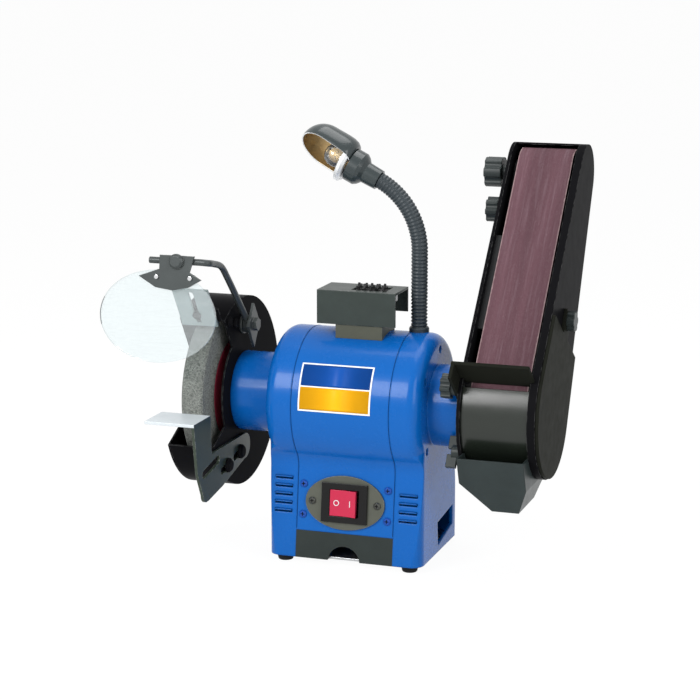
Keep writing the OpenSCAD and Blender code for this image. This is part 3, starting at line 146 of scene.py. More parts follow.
def surface(
    name, colour, rough=0.4, metal=0.0, coat=0.0, grain=600.0, bump=0.02, mottle=0.12,
    soft=0.0006, wear_and_glint=None, wear_and_glint_amount=0.0, spec=0.5, coords=None, blotch=40.0,
):
    """A painted, moulded or metal surface with mottling, fine grain, and rounded edges made paler,
    partly as wear and partly as a painted highlight.
    """
    g = Graph(name)
    shader = g.add("ShaderNodeBsdfPrincipled")
    place = g.turned(*coords) if coords else g.place
    blot = g.noise(blotch, 5.0, 0.6)
    fine = g.noise(grain, 3.0, 0.6, place)
    base = g.mix(g.ramp(blot, 0.3, 0.7), rgb(colour, 1 - mottle), rgb(colour, 1 + mottle))
    base = g.mix(g.math("MULTIPLY", g.ramp(fine, 0.35, 0.7), mottle), base, rgb(colour, 0.7))
    round_off = g.add("ShaderNodeBevel")
    round_off.samples = 8
    round_off.inputs["Radius"].default_value = soft
    # edges paler where the rounded normal turns away: partly wear, partly a painted edge highlight
    if wear_and_glint:
        flat = g.add("ShaderNodeNewGeometry")
        dot = g.add("ShaderNodeVectorMath", operation="DOT_PRODUCT")
        g.link(round_off.outputs[0], dot.inputs[0])
        g.link(flat.outputs["Normal"], dot.inputs[1])
        edge = g.ramp(dot.outputs["Value"], 0.95, 0.82)
        edge = g.math("MULTIPLY", edge, g.ramp(g.noise(220, 3), 0.42, 0.58))
        base = g.mix(g.math("MULTIPLY", edge, wear_and_glint_amount), base, rgb(wear_and_glint))
    g.put(shader.inputs["Base Color"], base)
    smudge = g.ramp(g.noise(blotch * 2.3, 6.0, 0.65), 0.3, 0.7, rough * 0.92, min(rough * 1.12, 1))
    g.put(shader.inputs["Roughness"], smudge)
    shader.inputs["Metallic"].default_value = metal
    shader.inputs["Specular IOR Level"].default_value = spec
    shader.inputs["Coat Weight"].default_value = coat
    shader.inputs["Coat Roughness"].default_value = 0.06
    return g.relief(shader, fine, min(bump * 10, 1), bump * MM, round_off.outputs[0])


def stone():
    """Vitrified abrasive: pale and dark grains in a grey-green bond."""
    g = Graph("abrasive_stone")
    shader = g.add("ShaderNodeBsdfPrincipled")
    cells = g.add("ShaderNodeTexVoronoi")
    g.link(g.place, cells.inputs["Vector"])
    cells.inputs["Scale"].default_value = 900
    tone = g.mix(g.ramp(cells.outputs["Color"], 0.1, 0.9),
                 rgb((0.08, 0.088, 0.08)), rgb((0.25, 0.265, 0.245)))
    tone = g.mix(g.ramp(g.noise(1700, 3), 0.62, 0.72), tone, rgb((0.48, 0.5, 0.47)))
    tone = g.mix(g.ramp(g.noise(60, 5), 0.35, 0.7, 0, 0.35), tone, rgb((0.1, 0.105, 0.095)))
    g.put(shader.inputs["Base Color"], tone)
    shader.inputs["Roughness"].default_value = 0.93
    return g.relief(shader, g.noise(1100, 4, 0.7), 1, 0.25 * MM)


BELT_X, BELT_EDGE = 0.137, 0.0246


def abrasive_cloth():
    """Mauve-brown sanding belt with faint lengthwise streaks and paler edges."""
    g = Graph("abrasive_cloth")
    shader = g.add("ShaderNodeBsdfPrincipled")
    along = g.turned(ARM_LEAN, (1, 0.04, 0.04))
    streak = g.noise(420, 4, 0.6, along)
    broad = g.noise(70, 4, 0.6, along)
    grit = g.noise(2600, 2, 0.7)
    tone = g.mix(g.ramp(broad, 0.3, 0.7), rgb((0.095, 0.046, 0.057)), rgb((0.14, 0.068, 0.084)))
    tone = g.mix(g.ramp(streak, 0.52, 0.7, 0, 0.28), tone, rgb((0.28, 0.2, 0.23)))
    tone = g.mix(g.ramp(grit, 0.45, 0.62, 0, 0.6), tone, rgb((0.06, 0.028, 0.036)))
    sparkle = g.ramp(g.noise(1900, 2, 0.7), 0.6, 0.7, 0, 0.4)
    tone = g.mix(sparkle, tone, rgb((0.36, 0.29, 0.31)))
    split = g.add("ShaderNodeSeparateXYZ")
    g.link(g.place, split.inputs[0])
    off = g.math("ABSOLUTE", g.math("SUBTRACT", split.outputs[0], BELT_X))
    frayed = g.math("ADD", off, g.math("MULTIPLY", g.noise(300, 3), 0.0016))
    tone = g.mix(g.ramp(frayed, BELT_EDGE, 0.0258, 0, 0.7), tone, rgb((0.45, 0.33, 0.33)))
    g.put(shader.inputs["Base Color"], tone)
    shader.inputs["Roughness"].default_value = 0.85
    shader.inputs["Specular IOR Level"].default_value = 0.15
    return g.relief(shader, grit, 0.7, 0.1 * MM)


def clear(name, tint, haze, rough=0.04, ior=1.45):
    """Thin clear plastic or glass: mostly see-through, with a faint haze and reflections."""
    g = Graph(name)
    through = g.add("ShaderNodeBsdfTransparent")
    through.inputs[0].default_value = rgb(tint)
    milky = g.add("ShaderNodeBsdfDiffuse")
    milky.inputs[0].default_value = rgb((0.85, 0.89, 0.9))
    shine = g.add("ShaderNodeBsdfGlossy")
    g.put(shine.inputs["Roughness"], g.ramp(g.noise(90, 5), 0.3, 0.7, rough, rough * 3))
    fresnel = g.add("ShaderNodeFresnel")
    fresnel.inputs["IOR"].default_value = ior
    streaks = g.noise(500, 4, 0.7, g.turned(0.3, (0.1, 1, 1)))
    scratches = g.ramp(streaks, 0.5, 0.8, haze, haze + 0.12)
    body = g.blend(scratches, through.outputs[0], milky.outputs[0])
    g.link(g.blend(fresnel.outputs[0], body, shine.outputs[0]), g.out.inputs[0])
    return g.mat


# pale grey for rounded edges: bare metal where worn, and a painted edge highlight
BARE_AND_GLINT = (0.5, 0.51, 0.5)
LOOKS = {
    "blue": surface("blue_enamel", (0.002, 0.102, 0.4), 0.26, coat=0.1, grain=420, bump=0.004,
                    mottle=0.015, soft=0.0022, spec=0.14),
    "blue_screw": surface("blue_screw_enamel", (0.004, 0.06, 0.33), 0.35, mottle=0.06, spec=0.3),
    "dark_blue": surface("seam_shadow", (0.001, 0.03, 0.13), 0.6, spec=0.1),
    "black": surface("black_enamel", (0.007, 0.007, 0.008), 0.3, grain=500, bump=0.005,
                     soft=0.001, mottle=0.03, wear_and_glint=BARE_AND_GLINT, wear_and_glint_amount=0.16, spec=0.004),
    "satin": surface("dark_satin", (0.013, 0.014, 0.011), 0.42, grain=700, bump=0.01, spec=0.01,
                     mottle=0.03, soft=0.0012),
    "moulded": surface("dark_moulding", (0.024, 0.031, 0.029), 0.5, grain=1500, bump=0.04,
                       spec=0.15),
    "gunmetal": surface("gunmetal", (0.012, 0.016, 0.012), 0.24, grain=500, bump=0.006, mottle=0.05,
                        wear_and_glint=BARE_AND_GLINT, wear_and_glint_amount=0.3, coords=(0.0, (0.04, 1, 1)), spec=0.5),
    "chute": surface("slate_plastic", (0.024, 0.033, 0.033), 0.34, grain=1500, bump=0.02,
                     soft=0.0018, spec=0.18),
    "knob": surface("knob_plastic", (0.022, 0.03, 0.03), 0.38, grain=1600, bump=0.03, soft=0.001,
                    spec=0.3),
    "rubber": surface("black_rubber", (0.01, 0.01, 0.01), 0.8, grain=1200, bump=0.08, spec=0.2),
    "gloss_black": surface("gloss_plastic", (0.008, 0.008, 0.008), 0.2, grain=900, bump=0.004,
                           spec=0.2),
    "red": surface("red_plastic", (0.5, 0.012, 0.055), 0.22, coat=0.2, grain=900, bump=0.004,
                   mottle=0.04, spec=0.3),
    "white": surface("white_mark", (0.8, 0.8, 0.8), 0.4, mottle=0.03),
    "olive_metal": surface("brushed_olive", (0.075, 0.08, 0.062), 0.42, metal=0.3, grain=500,
                           bump=0.02, coords=(0.0, (0.03, 1, 1)), wear_and_glint=BARE_AND_GLINT, wear_and_glint_amount=0.5),
    "olive": surface("olive_enamel", (0.032, 0.042, 0.038), 0.36, grain=600, bump=0.015, soft=0.001,
                     wear_and_glint=BARE_AND_GLINT, wear_and_glint_amount=0.25, spec=0.2),
    "olive_block": surface("olive_block", (0.075, 0.078, 0.058), 0.5, grain=700, bump=0.03,
                           spec=0.2),
    "steel": surface("ground_steel", (0.5, 0.51, 0.52), 0.3, metal=1.0, grain=700, bump=0.01,
                     mottle=0.08, coords=(0.0, (1, 0.05, 1))),
    "dark_steel": surface("oiled_steel", (0.02, 0.021, 0.022), 0.4, metal=0.2, grain=700, bump=0.01,
                          mottle=0.1, spec=0.15),
    "chrome": surface("bright_zinc", (0.62, 0.63, 0.64), 0.2, metal=1.0, grain=500, bump=0.006,
                      mottle=0.06),
    "dark_screw": surface("blackened_screw", (0.06, 0.062, 0.055), 0.3, metal=0.6, mottle=0.1),
    "grey_metal": surface("grey_steel", (0.05, 0.058, 0.058), 0.34, metal=0.2, grain=700,
                          bump=0.012, wear_and_glint=BARE_AND_GLINT, wear_and_glint_amount=0.5, spec=0.3),
    "arm_metal": surface("rest_arm_steel", (0.038, 0.052, 0.038), 0.32, metal=0.25, grain=600,
                         bump=0.012, wear_and_glint=BARE_AND_GLINT, wear_and_glint_amount=0.7, spec=0.3),
    # pale plate colour: bare steel together with a painted highlight
    "plate_steel_and_highlight": surface("rest_plate_steel_and_highlight", (0.6, 0.65, 0.68), 0.4, metal=0.25, grain=700,
                           bump=0.015, coords=(0.0, (0.05, 1, 1)), mottle=0.05),
    "pale_metal": surface("spark_plate_steel", (0.27, 0.33, 0.33), 0.42, metal=0.25, grain=700,
                          bump=0.015, coords=(0.4, (0.05, 1, 1)), mottle=0.08),
    "lamp": surface("lamp_enamel", (0.026, 0.036, 0.038), 0.26, coat=0.2, grain=800, bump=0.005,
                    mottle=0.06, spec=0.35),
    "hose": surface("hose_plastic", (0.028, 0.037, 0.043), 0.36, grain=1200, bump=0.02, spec=0.3),
    "gold": surface("gilt_reflector", (0.42, 0.29, 0.13), 0.32, metal=0.7, mottle=0.1, grain=500),
    "reflector": surface("white_reflector", (0.78, 0.8, 0.81), 0.25, metal=0.3, mottle=0.04),
    "brass": surface("brass", (0.6, 0.42, 0.18), 0.3, metal=1.0, mottle=0.1),
    "label_blue": surface("label_blue", (0.005, 0.075, 0.36), 0.4, mottle=0.03, bump=0.003,
                          spec=0.15),
    "label_yellow": surface("label_yellow", (0.92, 0.44, 0.006), 0.4, mottle=0.03, bump=0.003,
                            spec=0.15),
    "label_white": surface("label_white", (0.8, 0.82, 0.84), 0.4, mottle=0.02, bump=0.003,
                           spec=0.2),
    "paper_red": surface("paper_red", (0.3, 0.02, 0.045), 0.75, grain=1500, bump=0.03, mottle=0.15,
                         spec=0.2),
    "copper": surface("enamelled_copper", (0.4, 0.14, 0.05), 0.4, metal=0.6, grain=900, bump=0.1,
                      coords=(0.0, (1, 0.1, 0.1))),
    "core": surface("lamination_steel", (0.2, 0.2, 0.21), 0.5, metal=0.8, grain=900, bump=0.05,
                    coords=(0.0, (1, 0.02, 0.02))),
    "can": surface("aluminium_can", (0.6, 0.61, 0.62), 0.35, metal=1.0, mottle=0.05),
    "bearing": surface("bearing_steel", (0.4, 0.41, 0.42), 0.25, metal=1.0, mottle=0.08),
    "stars": surface("hardened_steel", (0.014, 0.014, 0.015), 0.45, metal=0.3, wear_and_glint=BARE_AND_GLINT,
                     wear_and_glint_amount=0.35, spec=0.2),
    "drum": surface("drum_rubber", (0.02, 0.02, 0.02), 0.7, grain=1200, bump=0.06, spec=0.2),
    # near-black bars that paint the shade inside screw recesses
    "recess_shade": surface("painted_recess_shade", (0.003, 0.003, 0.004), 0.8, spec=0.1),
    "stone": stone(),
    "cloth": abrasive_cloth(),
    "shield": clear("clear_plastic", (0.93, 0.965, 0.97), 0.14),
    "glass": clear("bulb_glass", (0.97, 0.98, 0.98), 0.08, 0.03, 1.6),
}

# CAD node -> its look and the width of its rounded edges in mm;
# 0 keeps the CAD mesh and -1 makes a copy with sharp edges
DRESS = {
    "motor_shell": ("blue", 0), "end_cap_left": ("blue", 0), "end_cap_right": ("blue", 0),
    "base_cover": ("moulded", 0), "base_plate": ("steel", 0), "rubber_feet": ("rubber", 0.8),
    "switch_plate": ("olive_metal", 0), "switch_frame": ("gloss_black", 0.8),
    "switch_rocker": ("red", 0.8), "switch_screws": ("dark_screw", 0),
    "housing_screws": ("blue_screw", 0), "name_plate": ("label_white", 0),
    "cable_gland": ("rubber", 0), "stator_core": ("core", 0), "stator_windings": ("copper", 0),
    "rotor_core": ("core", 0), "rotor_shaft": ("steel", 0), "bearings": ("bearing", 0),
    "run_capacitor": ("can", 0), "wheel_guard": ("black", 0), "guard_cover": ("black", 0),
    "guard_bolts": ("black", 0), "grinding_wheel": ("stone", 0), "wheel_labels": ("paper_red", 0),
    "wheel_flanges": ("steel", 0), "shaft_nuts": ("chrome", 0), "spark_arrester": ("pale_metal", 0),
    "eye_shield": ("shield", -1), "shield_bracket": ("grey_metal", 0),
    "shield_screws": ("chrome", -1), "shield_clamp": ("grey_metal", 0),
    "dresser_body": ("olive", 0), "dresser_wheels": ("stars", 0),
    "dresser_pin": ("steel", 0), "dresser_base": ("olive_block", 0), "lamp_socket": ("lamp", 0),
    "arm_plate": ("black", 0), "arm_retainer": ("steel", 0), "drive_drum": ("drum", 0),
    "idler_roller": ("dark_steel", 0), "idler_carriage": ("dark_steel", 0),
    "tension_spring": ("steel", 0), "sanding_belt": ("cloth", 0), "belt_platen": ("dark_steel", 0),
    "belt_housing": ("black", 0), "side_cover": ("satin", 0), "tracking_knob": ("knob", 1.0),
    "tension_knob": ("knob", 1.0), "wing_knob": ("knob", 0.9), "side_knob": ("knob", 0.9),
    "rest_knob": ("knob", 0.9), "drum_cover": ("gunmetal", 0), "dust_chute": ("chute", 0),
    "belt_rest": ("satin", 0), "tool_rest": ("arm_metal", -1),
}


# ---- pieces ----
def attach(obj, body, slot, *nodes):
    """Puts a piece on its CAD body and hides the nodes it stands for. The slot is not used."""
    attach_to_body(obj, body)
    if nodes:
        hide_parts(*nodes)
    return obj


def from_bmesh(name, bm, look):
    mesh = bpy.data.meshes.new(name)
    bm.to_mesh(mesh)
    bm.free()
    obj = bpy.data.objects.new(name, mesh)
    bpy.context.scene.collection.objects.link(obj)
    mesh.materials.append(LOOKS[look])
    return obj


def shade(obj, angle=32):
    """Smooth shading that stays sharp at real edges."""
    bm = bmesh.new()
    bm.from_mesh(obj.data)
    limit = math.radians(angle)
    for face in bm.faces:
        face.smooth = True
    for edge in bm.edges:
        edge.smooth = not (len(edge.link_faces) == 2 and edge.calc_face_angle(0) > limit)
    bm.to_mesh(obj.data)
    bm.free()
    return obj


def rounded(node, look, width):
    """A copy of a CAD node, with softened edges when the width is above zero, which stands for it.
    """
    bm = bmesh.new()
    bm.from_mesh(frame["nodes"][node].data)
    bmesh.ops.remove_doubles(bm, verts=bm.verts, dist=2e-6)
    if width > 0:
        bmesh.ops.dissolve_limit(bm, angle_limit=math.radians(0.8), verts=bm.verts, edges=bm.edges)
    bmesh.ops.recalc_face_normals(bm, faces=bm.faces)
    obj = from_bmesh("soft_" + node, bm, look)
    shade(obj)
    if width > 0:
        edge = obj.modifiers.new("edges", "BEVEL")
        edge.width = width * MM
        edge.segments = 3
        edge.limit_method = "ANGLE"
        edge.angle_limit = math.radians(38)
    return attach(obj, BODY_OF[node], SLOT_OF[node], node)


made = {}
for node_name, (look_name, edge_width) in DRESS.items():
    if edge_width:
        made[node_name] = rounded(node_name, look_name, edge_width)
    else:
        mesh_data = frame["nodes"][node_name].data
        mesh_data.materials.clear()
        mesh_data.materials.append(LOOKS[look_name])


def second_look(obj, look, test):
    """Gives the faces whose centre passes the test a second material."""
    obj.data.materials.append(LOOKS[look])
    last = len(obj.data.materials) - 1
    for face in obj.data.polygons:
        if test(face.center):
            face.material_index = last


def lathe(name, look, profile, place, sides=48, close=True):
    """Turns (radius, height) points about Z and puts the result at a matrix."""
    bm = bmesh.new()
    rings = []
    for r, z in profile:
        if r < 1e-6:
            rings.append([bm.verts.new(place @ Vector((0, 0, z)))])
            continue
        rings.append([
            bm.verts.new(place @ Vector((r * math.cos(a), r * math.sin(a), z)))
            for a in (2 * math.pi * k / sides for k in range(sides))
        ])
    pairs = list(zip(rings, rings[1:]))
    if close:
        pairs.append((rings[-1], rings[0]))
    for a, b in pairs:
        for k in range(sides):
            quad = [a[k % len(a)], a[(k + 1) % len(a)], b[(k + 1) % len(b)], b[k % len(b)]]
            corners = list(dict.fromkeys(quad))
            if len(corners) > 2:
                bm.faces.new(corners)
    bmesh.ops.recalc_face_normals(bm, faces=bm.faces)
    return shade(from_bmesh(name, bm, look))


def tube(name, look, path, radius, sides):
    """A closed tube along points; radius is a number or one number for each point."""
    bm = bmesh.new()
    rings = []
    up = None
    for i, p in enumerate(path):
        ahead = (path[min(i + 1, len(path) - 1)] - path[max(i - 1, 0)]).normalized()
        if up is None:
            up = ahead.orthogonal().normalized()
        up = (up - ahead * up.dot(ahead)).normalized()
        side = ahead.cross(up)
        r = radius if isinstance(radius, float) else radius[i]
        rings.append([
            bm.verts.new(p + (up * math.cos(a) + side * math.sin(a)) * r)
            for a in (2 * math.pi * k / sides for k in range(sides))
        ])
    for a, b in zip(rings, rings[1:]):
        for k in range(sides):
            bm.faces.new([a[k], a[(k + 1) % sides], b[(k + 1) % sides], b[k]])
    bm.faces.new(rings[0])
    bm.faces.new(rings[-1])
    bmesh.ops.recalc_face_normals(bm, faces=bm.faces)
    return shade(from_bmesh(name, bm, look), 50)


def slab(name, look, place, size, edge):
    """A box with softened edges, centred on a matrix."""
    bm = bmesh.new()
    bmesh.ops.create_cube(bm, size=1)
    bmesh.ops.transform(bm, verts=bm.verts, matrix=place @ Matrix.Diagonal((*size, 1)))
    bmesh.ops.bevel(bm, geom=list(bm.edges), offset=edge, segments=2, affect="EDGES")
    return shade(from_bmesh(name, bm, look))


def axes(origin, x, y, z):
    """A matrix with the given origin and axes."""
    return Matrix(((x[0], y[0], z[0], origin[0]), (x[1], y[1], z[1], origin[1]),
                   (x[2], y[2], z[2], origin[2]), (0, 0, 0, 1)))


def cross_slot(name, place, size):
    """The cross recess of a screw, as two thin bars on its head in a dark colour that paints the
    shade inside the recess.
    """
    width = size * 0.22
    a = slab(name + "_a", "recess_shade", place, (size, width, 0.0003), 0.00005)
    b = slab(name + "_b", "recess_shade", place, (width, size, 0.00031), 0.00005)
    return a, b


# the bracket clasps the shield from the front, so the shield and its screws sit further back
SHIELD_TILT = math.radians(-8)
SET_BACK = {"eye_shield": 0.0038, "shield_screws": 0.0020}
shield_back = Vector((0, math.cos(SHIELD_TILT), math.sin(SHIELD_TILT)))
for node_name, distance in SET_BACK.items():
    made[node_name].data.transform(Matrix.Translation(shield_back * distance))

# two-tone rest: a bright plate on a dark arm; the plate's pale colour is partly its bare steel and
# partly a painted highlight
PLATE_BOTTOM, PLATE_RIGHT = 0.1353, -0.1096
second_look(made["tool_rest"], "plate_steel_and_highlight",
            lambda centre: centre.z > PLATE_BOTTOM and centre.x < PLATE_RIGHT)

# ---- lamp ----
NECK_X, NECK_Y = 0.050, 0.009
NECK_RISE, BEND_R, NECK_R = 0.072, 0.068, 0.0074
STEPS_UP, STEPS_ROUND = 180, 200
RIB_PITCH = 0.0031
DEEP_RIBS, DEEP_DEPTH, RIB_DEPTH = 0.03, 0.0011, 0.0007
neck_foot = Vector((NECK_X, NECK_Y, SHAFT_Z + math.sqrt(MOTOR_R**2 - NECK_Y**2)))
neck_top = neck_foot + Vector((0, 0, NECK_RISE))
neck_path = []
neck_size = []
for i in range(STEPS_UP):
    neck_path.append(neck_foot.lerp(neck_top, i / STEPS_UP) + Vector((0, 0, 0.0005)))
for i in range(STEPS_ROUND + 1):
    a = NECK_TURN * i / STEPS_ROUND
    neck_path.append(neck_top + Vector((-BEND_R * (1 - math.cos(a)), 0, BEND_R * math.sin(a))))
run = 0.0
for i, point in enumerate(neck_path):
    if i:
        run += (point - neck_path[i - 1]).length
    depth = DEEP_DEPTH if run < DEEP_RIBS else RIB_DEPTH
    wave = 0.5 + 0.5 * math.cos(2 * math.pi * run / RIB_PITCH)
    neck_size.append(NECK_R - depth * (1 - wave**0.6))
neck = tube("gooseneck", "hose", neck_path, neck_size, 28)
attach(neck, "base", "lamp_grey", "lamp_neck")
collar = lathe("neck_collar", "hose", [
    (0.0070, -0.003), (0.0089, -0.003), (0.0089, 0.0035), (0.0080, 0.0048), (0.0070, 0.0048),
], Matrix.Translation(neck_foot))
attach(collar, "base", "lamp_grey")

lamp_dir = Vector((-math.sin(NECK_TURN), 0, math.cos(NECK_TURN)))
lamp_at = neck_path[-1]
lamp_place = axes(lamp_at, (math.cos(NECK_TURN), 0, math.sin(NECK_TURN)), (0, 1, 0), lamp_dir)
mouth = Vector((-0.38, -0.70, -0.60)).normalized()
SHADE_R, DOME_AT = 0.0214, 0.0583
dome = [(0.0140, 0.0290), (0.0175, 0.0302), (0.0198, 0.0330), (0.0210, 0.0375), (SHADE_R, 0.0430)]
dome += [(SHADE_R * math.cos(a), DOME_AT + SHADE_R * math.sin(a))
         for a in (math.radians(6 * k) for k in range(15))] + [(0, 0.0797)]
shade_shell = lathe("shade", "lamp", dome, lamp_place, 96, close=False)
bm = bmesh.new()
bm.from_mesh(shade_shell.data)
cut_at = lamp_at + lamp_dir * 0.052 + mouth * 0.004
bmesh.ops.bisect_plane(bm, geom=list(bm.verts) + list(bm.edges) + list(bm.faces), dist=1e-6,
                       plane_co=cut_at, plane_no=mouth, clear_outer=True)
bm.to_mesh(shade_shell.data)
bm.free()
shade_shell.data.materials.append(LOOKS["gold"])
shade_shell.data.materials.append(LOOKS["reflector"])
wall = shade_shell.modifiers.new("wall", "SOLIDIFY")
wall.thickness = 0.0012
wall.offset = -1
wall.material_offset = 1
wall.material_offset_rim = 2
attach(shade_shell, "lamp_head", "lamp_grey", "lamp_shade")

ring = lathe("reflector_ring", "reflector", [
    (0.0078, 0.0312), (0.0166, 0.0312), (0.0190, 0.0335), (0.0190, 0.0362), (0.0184, 0.0362),
    (0.0160, 0.0330), (0.0078, 0.0330),
], lamp_place)
attach(ring, "lamp_head", "lamp_grey")
bulb = lathe("bulb", "glass", [
    (0.0, 0.0555), (0.0045, 0.0547), (0.0083, 0.0520), (0.0102, 0.0475), (0.0104, 0.0440),
    (0.0094, 0.0400), (0.0076, 0.0370), (0.0066, 0.0345), (0.0062, 0.0330), (0.0, 0.0330),
], lamp_place, close=False)
attach(bulb, "lamp_head", "lamp_glass", "lamp_bulb")
holder = lathe("bulb_cap", "brass", [
    (0.0, 0.0205), (0.0065, 0.0205), (0.0068, 0.0220), (0.0064, 0.0235), (0.0068, 0.0250),
    (0.0064, 0.0265), (0.0068, 0.0280), (0.0064, 0.0295), (0.0068, 0.0310), (0.0060, 0.0345),
    (0.0, 0.0345),
], lamp_place, close=False)
attach(holder, "lamp_head", "lamp_glass")
COIL_R, COIL_AT = 0.0008, 0.045
coil = []
for t in (k * 0.16 for k in range(40)):
    coil.append(lamp_place @ Vector((0.004 * math.cos(t * 0.5), COIL_R * math.sin(t * 3),
                                     COIL_AT + COIL_R * math.cos(t * 3))))
filament = tube("filament", "steel", coil, 0.00022, 6)
attach(filament, "lamp_head", "lamp_glass")


# ---- label: two panels inside the white border ----
LABEL_LEFT, LABEL_RIGHT, LABEL_R = -0.0366, 0.0266, 0.06352


def curved_panel(name, look, a0, a1):
    """A thin panel round the motor, between two angles in degrees above the shaft."""
    bm = bmesh.new()
    rows = []
    for i in range(13):
        a = math.radians(a0 + (a1 - a0) * i / 12)
        y, z = -math.cos(a), math.sin(a)
        rows.append([bm.verts.new((x, y * LABEL_R, SHAFT_Z + z * LABEL_R))
                     for x in (LABEL_LEFT, LABEL_RIGHT)])
    for a, b in zip(rows, rows[1:]):
        bm.faces.new([a[0], a[1], b[1], b[0]])
    bmesh.ops.recalc_face_normals(bm, faces=bm.faces)
    obj = from_bmesh(name, bm, look)
    thick = obj.modifiers.new("thick", "SOLIDIFY")
    thick.thickness = 0.0002
    thick.offset = 0
    return attach(shade(obj), "base", "label_yellow")


curved_panel("label_upper", "label_blue", 20.6, 38.2)
curved_panel("label_lower", "label_yellow", 1.8, 19.6)

# ---- switch marks, and screw recesses as painted shade ----
wall_up = Vector((0, math.sin(WALL_LEAN), math.cos(WALL_LEAN)))
wall_out = Vector((0, -math.cos(WALL_LEAN), math.sin(WALL_LEAN)))


def on_wall(x, z, out):
    """A point on the leaning front wall at height z, moved outwards."""
    t = (z - WALL_FOOT_Z) / wall_up.z
    return Vector((x, WALL_FOOT_Y, WALL_FOOT_Z)) + wall_up * t + wall_out * out


SWITCH_Z = 0.058
ROCKER_TIP = math.radians(-7)
HALF_SLOPE = math.atan2(2, 12.4)
rocker_at = on_wall(0, SWITCH_Z, 0.002)
rocker_x = Vector((math.cos(ROCKER_TIP), 0, 0)) - wall_out * math.sin(ROCKER_TIP)
rocker_out = Vector((math.sin(ROCKER_TIP), 0, 0)) + wall_out * math.cos(ROCKER_TIP)
for side in (-1, 1):
    slope = HALF_SLOPE * side
    face_x = rocker_x * math.cos(slope) + rocker_out * math.sin(slope)
    face_out = rocker_out * math.cos(slope) - rocker_x * math.sin(slope)
    centre = rocker_at + rocker_x * 0.0065 * side + rocker_out * 0.00372
    place = axes(centre, face_x, wall_up, face_out)
    if side < 0:
        mark = lathe("mark_off", "white", [
            (0.0019, -0.0001), (0.0026, -0.0001), (0.0026, 0.0001), (0.0019, 0.0001),
        ], place, 32)
    else:
        mark = slab("mark_on", "white", place, (0.0008, 0.0055, 0.0002), 0.00004)
    attach(mark, "rocker", "red_plastic")

SHELL_SCREWS = [(x, z) for x in (-0.039, 0.039) for z in (0.072, 0.045)]
RECESSES = [("switch_screw_%d" % i, on_wall(0.030 * s, SWITCH_Z, 0.0040), 0.0034, "screw_steel")
            for i, s in enumerate((-1, 1))]
RECESSES += [("shell_screw_%d" % i, on_wall(x, z, 0.0020), 0.0036, "blue_screws")
             for i, (x, z) in enumerate(SHELL_SCREWS)]
for name, at, size, slot_name in RECESSES:
    for bar in cross_slot(name, axes(at, (1, 0, 0), wall_up, wall_out), size):
        attach(bar, "base", slot_name)

# ---- seams of the end caps and lips over the vents ----
SEAM_X = 0.0446
SEAM_LOW, SEAM_STEP, SEAM_ROWS, SEAM_TURNS = 0.032, 0.002, 56, 60
RAY_FROM = 0.2


def seam(name, x):
    """A dark line on the outer surface where an end cap meets the shell."""
    tree = BVHTree.FromObject(frame["nodes"]["motor_shell"], bpy.context.evaluated_depsgraph_get())
    points = []
    for k in range(SEAM_ROWS):
        z = SEAM_LOW + SEAM_STEP * k
        points.append((Vector((x, -RAY_FROM, z)), Vector((0, 1, 0))))
    for k in range(1, SEAM_TURNS):
        a = math.pi * k / SEAM_TURNS
        out = Vector((0, -math.cos(a), math.sin(a)))
        points.append((Vector((x, 0, SHAFT_Z)) + out * RAY_FROM, -out))
    for k in range(SEAM_ROWS):
        z = SHAFT_Z - SEAM_STEP * k
        points.append((Vector((x, RAY_FROM, z)), Vector((0, -1, 0))))
    path = []
    for start, way in points:
        hit = tree.ray_cast(start, way)[0]
        if hit is not None:
            path.append(hit)
    return attach(tube(name, "dark_blue", path, 0.00028, 8), "base", "blue_paint")


seam("seam_left", -SEAM_X)
seam("seam_right", SEAM_X)
VENT_X, VENT_LOW, VENT_STEP, LIP_ABOVE = 0.05775, 0.045, 0.0074, 0.0024
for side, count in ((-1, 5), (1, 4)):
    for k in range(count):
        at = on_wall(side * VENT_X, VENT_LOW + VENT_STEP * k + LIP_ABOVE, 0.0004)
        lip = slab("vent_lip_%d_%d" % (side, k), "blue", axes(at, (1, 0, 0), wall_up, wall_out),
                   (0.0170, 0.0017, 0.0018), 0.0006)
        attach(lip, "base", "blue_paint")

# ---- the rod, smooth ----
ROD_X = -0.107
ROD_R = 0.0029
bend_points = [Vector(p) for p in (
    (ROD_X, -0.008, 0.209), (ROD_X, -0.024, 0.226), (ROD_X, -0.052, 0.254),
    (ROD_X, -0.066, 0.266), (ROD_X, -0.083, 0.271), (ROD_X, -0.0955, 0.2735),
    (ROD_X - 0.006, -0.097, 0.274), (ROD_X - 0.014, -0.097, 0.274), (-0.160, -0.097, 0.274),
)]


def smooth_path(points, each=8):
    """A Catmull-Rom curve through the points."""
    out = []
    for i in range(len(points) - 1):
        a, b = points[max(i - 1, 0)], points[i]
        c, d = points[i + 1], points[min(i + 2, len(points) - 1)]
        for k in range(each):
            t = k / each
            out.append(0.5 * ((2 * b) + (c - a) * t + (2 * a - 5 * b + 4 * c - d) * t * t
                              + (3 * b - a - 3 * c + d) * t**3))
    out.append(points[-1].copy())
    return out


rod = tube("rod", "grey_metal", smooth_path(bend_points), ROD_R, 20)
attach(rod, "rod", "grey_steel", "shield_rod")
across = axes((ROD_X, -0.003, 0.204), (0, 1, 0), (0, 0, 1), (1, 0, 0))
eye = lathe("rod_eye", "grey_metal", [
    (0.0031, -0.003), (0.0074, -0.003), (0.0080, -0.0024), (0.0080, 0.0024), (0.0074, 0.003),
    (0.0031, 0.003),
], across)
attach(eye, "rod", "grey_steel")

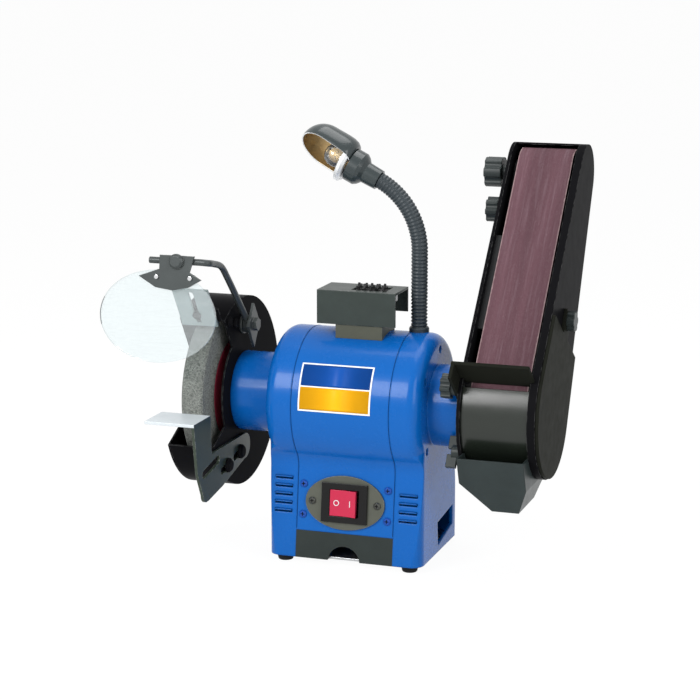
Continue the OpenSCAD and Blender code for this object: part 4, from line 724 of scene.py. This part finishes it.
# ---- stage ----
CAMERA_DISTANCE = 1.8653
LENS_MM, SENSOR_MM = 107.9, 36
target = Vector((-0.0114, 0, 0.1855))
az, el = math.radians(18.8), math.radians(11.8)
back = Vector((math.sin(az) * math.cos(el), -math.cos(az) * math.cos(el), math.sin(el)))
camera = bpy.data.objects.new("camera", bpy.data.cameras.new("camera"))
bpy.context.scene.collection.objects.link(camera)
camera.location = target + back * CAMERA_DISTANCE
camera.rotation_mode = "QUATERNION"
camera.rotation_quaternion = (-back).to_track_quat("-Z", "Y")
camera.data.lens = LENS_MM
camera.data.sensor_width = SENSOR_MM
camera.data.clip_start, camera.data.clip_end = 0.05, 50
bpy.context.scene.camera = camera


def bright_rays(tree):
    """One where a camera, glossy or see-through ray looks, else zero."""
    path = tree.nodes.new("ShaderNodeLightPath")
    value = path.outputs["Is Camera Ray"]
    for kind in ("Is Glossy Ray", "Is Transmission Ray"):
        most = tree.nodes.new("ShaderNodeMath")
        most.operation = "MAXIMUM"
        tree.links.new(value, most.inputs[0])
        tree.links.new(path.outputs[kind], most.inputs[1])
        value = most.outputs[0]
    return value


floor_look = Graph("floor")
matt = floor_look.add("ShaderNodeBsdfDiffuse")
matt.inputs[0].default_value = (0.95, 0.95, 0.95, 1)
glow = floor_look.add("ShaderNodeEmission")
glow.inputs[0].default_value = (1, 1, 1, 1)
glow.inputs[1].default_value = 1.02
glow_share = floor_look.math("MULTIPLY", bright_rays(floor_look.tree), 0.93)
floor_look.link(floor_look.blend(glow_share, matt.outputs[0], glow.outputs[0]),
                floor_look.out.inputs[0])
bm = bmesh.new()
bmesh.ops.create_grid(bm, x_segments=1, y_segments=1, size=20)
LOOKS["floor"] = floor_look.mat
floor = from_bmesh("floor", bm, "floor")

world = bpy.data.worlds.new("studio")
world.use_nodes = True
bpy.context.scene.world = world
sky = world.node_tree
sky.nodes.clear()
power = sky.nodes.new("ShaderNodeMapRange")
power.inputs["To Min"].default_value = 0.45
power.inputs["To Max"].default_value = 1.0
sky.links.new(bright_rays(sky), power.inputs["Value"])
backdrop = sky.nodes.new("ShaderNodeBackground")
backdrop.inputs[0].default_value = (1, 1, 1, 1)
sky.links.new(power.outputs[0], backdrop.inputs[1])
sky_out = sky.nodes.new("ShaderNodeOutputWorld")
sky.links.new(backdrop.outputs[0], sky_out.inputs[0])


def area(name, at, aim, size, watts, size_y=None):
    """A rectangular light in metres and watts, turned towards a point."""
    light = bpy.data.lights.new(name, "AREA")
    light.shape = "RECTANGLE"
    light.size = size
    light.size_y = size_y or size
    light.energy = watts
    lamp = bpy.data.objects.new(name, light)
    bpy.context.scene.collection.objects.link(lamp)
    lamp.location = at
    lamp.rotation_mode = "QUATERNION"
    lamp.rotation_quaternion = (Vector(at) - Vector(aim)).to_track_quat("Z", "Y")


area("key", (-0.62, -1.4, 1.05), (0, 0, 0.15), 0.7, 21)
area("fill", (1.3, -0.9, 0.8), (0.05, 0, 0.15), 0.6, 9, 1.0)
area("top", (0.1, 0.3, 1.5), (0, 0, 0.15), 0.9, 9)
bpy.context.scene.view_settings.view_transform = "Standard"
